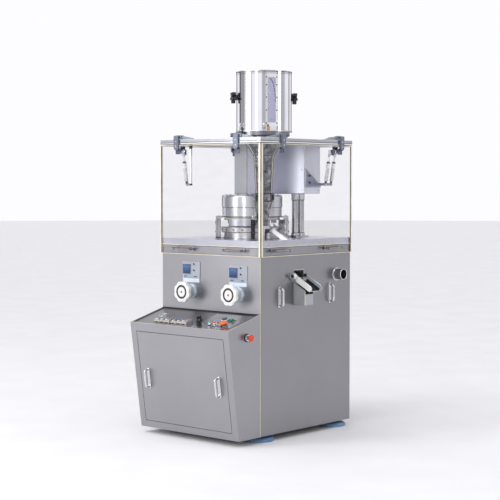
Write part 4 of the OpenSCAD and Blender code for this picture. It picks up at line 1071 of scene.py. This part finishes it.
# strips round the four sides: overhang along the side, outer and inner face, low and high edge
TRIMS = (
    # this cream strip along the deck's edge is a painted highlight
    (0, 0.8, 0, 905.6, 908.6, EDGE_HIGHLIGHT),
    (0, 0.6, 0, 903.4, 905.6, RUBBER),
    (5.8, 5.8, 1, ROOF_LOW_Z - 2.0, ROOF_LOW_Z, RUBBER),
    (6.9, 6.9, 6.5, ROOF_LOW_Z + 6, ROOF_LOW_Z + 8.4, RUBBER),
    (6.9, 6.9, 6.5, ROOF_LOW_Z + 0.4, ROOF_LOW_Z + 5.6, BRIGHT),
    (6.9, 6.9, 6.5, ROOF_Z - 2, ROOF_Z - 0.2, BRIGHT),
)
parts = []
for k, turn in enumerate(SIDE_TURN):
    half, edge = (HALF_D, HALF_W) if k % 2 else (HALF_W, HALF_D)
    for wide, out, inner, z0, z1, material in TRIMS:
        strip = block((-half - wide, -edge - out, z0), (half + wide, -edge - inner, z1))
        parts.append((strip, turn, material))
# painted highlight along the right panel's folded corner, with painted shade in its gap
parts += blocks(HERE, (
    ((HALF_W, -HALF_D, 31), (HALF_W + 0.5, -HALF_D + 2.2, 860), EDGE_HIGHLIGHT),
    ((HALF_W, -HALF_D + 2.2, 31), (HALF_W + 0.4, -HALF_D + 4.2, 860), RUBBER),
))
make("deck_and_roof_trims", "frame", parts)

# ---- gas struts: sleeves, seals and end fittings ----


def strut(name, k, edge, places):
    """The sleeves and end fittings of one side's struts; z runs along the strut from its upper pin."""
    body, rod_parts = [], []
    gland = [(4.4, 112), (8.2, 112), (8.6, 110), (8.6, 104), (8.0, 103), (4.4, 103)]
    for u in places:
        f = SIDE_TURN[k] @ at(u, -edge + STRUT_SET_BACK, STRUT_PIN_Z, (STRUT_LEAN, 0, 0))
        body += [
            (lathe(gland, 32), f, BLACK),
            (lathe([(5, 14), (8.9, 16), (8.9, 22), (8.5, 24), (5, 24)], 32), f, STAINLESS),
            (lathe([(8.2, 79), (8.8, 79.4), (8.8, 102.6), (8.2, 103)], 32), f, WHITE),
            (lathe([(4.6, 6), (5.6, 6.4), (5.6, 13.6), (4.6, 14)], 24), f, BLACK),
            (rod(6.4, -5.2, 5.2, 0.8, 24), f @ at(0, 0, 0, TO_RIGHT), POLISHED),
        ]
        rod_parts += [
            (lathe([(4.0, 136), (6.6, 137), (6.6, 150), (4.0, 152)], 24), f, STAINLESS),
            (rod(6.4, -4.8, 4.8, 0.8, 24), f @ at(0, 0, STRUT_LENGTH, TO_RIGHT), POLISHED),
        ]
    make(f"{name}_strut_sleeves", f"{name}_strut_cylinder", body)
    make(f"{name}_strut_ends", f"{name}_strut_rod", rod_parts)


strut("front", 0, HALF_D + DOOR_OUT, (-189,))

hanger = at(-163, -HALF_D + 39.5, 0)
hanger_low, hanger_high = 1196, ROOF_LOW_Z - 21
bar = [(5.9, hanger_low), (6.25, hanger_low + 0.4), (6.25, hanger_high - 1), (5.9, hanger_high - 0.6)]
top_nut = [(5.9, hanger_high), (8, hanger_high + 0.6), (8, hanger_high + 20.8), (5.9, hanger_high + 20.9)]
foot_nut = [(5.9, 1193), (7.4, 1193.4), (7.4, 1202), (5.9, 1202.4)]
make("front_hanger_trim", "frame", [
    (lathe(bar, 28), hanger, POLISHED),
    (lathe(top_nut, 28), hanger, BLACK),
    (lathe(foot_nut, 28), hanger, BLACK),
])

strut("right", 1, HALF_W + DOOR_OUT, (233, 191))

# ---- stage, light and camera ----


FLOOR_RADIUS = 40
FLOOR_STEPS = 96


def stage_floor():
    """A wide, pale, round floor."""
    mesh = bpy.data.meshes.new("floor")
    points = [(0, 0, 0)]
    for i in range(FLOOR_STEPS):
        a = 2 * math.pi * i / FLOOR_STEPS
        points.append((FLOOR_RADIUS * math.cos(a), FLOOR_RADIUS * math.sin(a), 0))
    mesh.from_pydata(points, [], [(0, 1 + i, 1 + (i + 1) % FLOOR_STEPS) for i in range(FLOOR_STEPS)])
    floor = bpy.data.objects.new("floor", mesh)
    bpy.context.scene.collection.objects.link(floor)
    material, tree, bsdf = new_material("pale_floor")
    tone = two_tone(tree, noise(tree, 3.0), (0.86, 0.86, 0.87), (0.90, 0.90, 0.91))
    tree.links.new(tone, bsdf.inputs["Base Color"])
    bsdf.inputs["Roughness"].default_value = 0.8
    mesh.materials.append(material)


def softbox(name, place, target, width, height, power):
    """A rectangular lamp at place, facing target, hidden from the camera."""
    light = bpy.data.lights.new(name, "AREA")
    light.shape = "RECTANGLE"
    light.size = width
    light.size_y = height
    light.energy = power
    lamp = bpy.data.objects.new(name, light)
    lamp.location = place
    lamp.rotation_mode = "QUATERNION"
    lamp.rotation_quaternion = (Vector(target) - Vector(place)).to_track_quat("-Z", "Y")
    lamp.visible_camera = False
    bpy.context.scene.collection.objects.link(lamp)


# brightness of the room by direction: degrees round from the photographer, to the right
SURROUND = (
    (-180, 1.0), (-168, 1.0), (-165, 0.06), (-152, 0.10), (-148, 0.98), (-125, 0.98), (-122, 0.05),
    (-117, 0.05), (-113, 0.40), (-90, 0.36), (-87, 0.95), (-78, 0.90), (-74, 0.70), (-54, 0.70),
    (-50, 1.0), (-11, 1.0), (-7, 0.50), (7, 0.50), (12, 0.85), (50, 0.85), (56, 0.46), (91, 0.50),
    (98, 0.92), (122, 0.95), (125, 0.10), (129, 0.10), (133, 0.95), (148, 0.98), (152, 0.10),
    (165, 0.06), (168, 1.0), (180, 1.0),
)


def studio_world():
    """A pale room with darker bands, seen as stripes in the polished parts."""
    world = bpy.data.worlds.new("studio")
    bpy.context.scene.world = world
    world.use_nodes = True
    tree = world.node_tree
    background = tree.nodes["Background"]
    coord = tree.nodes.new("ShaderNodeTexCoord")
    angle = tree.nodes.new("ShaderNodeMath")
    angle.operation = "ARCTAN2"
    # directions to the photographer's far side and right
    for i, axis in enumerate(((0.747, 0.664, 0), (0.664, -0.747, 0))):
        along = tree.nodes.new("ShaderNodeVectorMath")
        along.operation = "DOT_PRODUCT"
        along.inputs[1].default_value = axis
        tree.links.new(coord.outputs["Generated"], along.inputs[0])
        tree.links.new(along.outputs["Value"], angle.inputs[i])
    place = tree.nodes.new("ShaderNodeMapRange")
    place.inputs["From Min"].default_value = -math.pi
    place.inputs["From Max"].default_value = math.pi
    ramp = tree.nodes.new("ShaderNodeValToRGB")
    while len(ramp.color_ramp.elements) < len(SURROUND):
        ramp.color_ramp.elements.new(0.5)
    for element, (degrees, level) in zip(ramp.color_ramp.elements, SURROUND):
        element.position = (degrees + 180) / 360
        element.color = (level * 0.985, level * 0.98, level * 1.02, 1)
    tree.links.new(angle.outputs["Value"], place.inputs["Value"])
    tree.links.new(place.outputs["Result"], ramp.inputs["Fac"])
    tree.links.new(ramp.outputs["Color"], background.inputs["Color"])


def overhead_sun(strength):
    """Soft light from above."""
    light = bpy.data.lights.new("overhead", "SUN")
    light.energy = strength
    light.angle = math.radians(60)
    lamp = bpy.data.objects.new("overhead", light)
    lamp.rotation_euler = (math.radians(20), math.radians(-12), 0)
    bpy.context.scene.collection.objects.link(lamp)


CAMERA_TURN, CAMERA_PITCH = math.radians(41.64), math.radians(2.64)
CAMERA_AWAY, CAMERA_LEFT, CAMERA_HEIGHT = 6.684, 0.0342, 1.1926


def photo_camera():
    """The camera fitted to the photograph: turned to the right of the front, level at 1.19 m."""
    right = Vector((math.cos(CAMERA_TURN), math.sin(CAMERA_TURN), 0))
    forward = Vector((-math.sin(CAMERA_TURN), math.cos(CAMERA_TURN), 0))
    data = bpy.data.cameras.new("camera")
    data.sensor_width = 36.0
    data.lens = 97.6392
    data.shift_y = -0.0037
    data.clip_end = 200
    camera = bpy.data.objects.new("camera", data)
    camera.location = CENTRE - forward * CAMERA_AWAY - right * CAMERA_LEFT + Vector((0, 0, CAMERA_HEIGHT))
    aim = forward * math.cos(CAMERA_PITCH) - Vector((0, 0, math.sin(CAMERA_PITCH)))
    camera.rotation_mode = "QUATERNION"
    camera.rotation_quaternion = aim.to_track_quat("-Z", "Y")
    bpy.context.scene.collection.objects.link(camera)
    bpy.context.scene.camera = camera


stage_floor()
studio_world()
overhead_sun(0.9)
softbox("key", (-2.2, -4.6, 2.4), (0, 0, 1.1), 1.6, 2.6, 90)
softbox("strip", (1.0, -5.2, 2.2), (0, 0, 1.4), 0.5, 2.6, 25)
softbox("fill", (4.6, 1.4, 2.2), (0, 0, 1.2), 0.9, 2.2, 25)
photo_camera()
bpy.context.scene.view_settings.view_transform = "Standard"
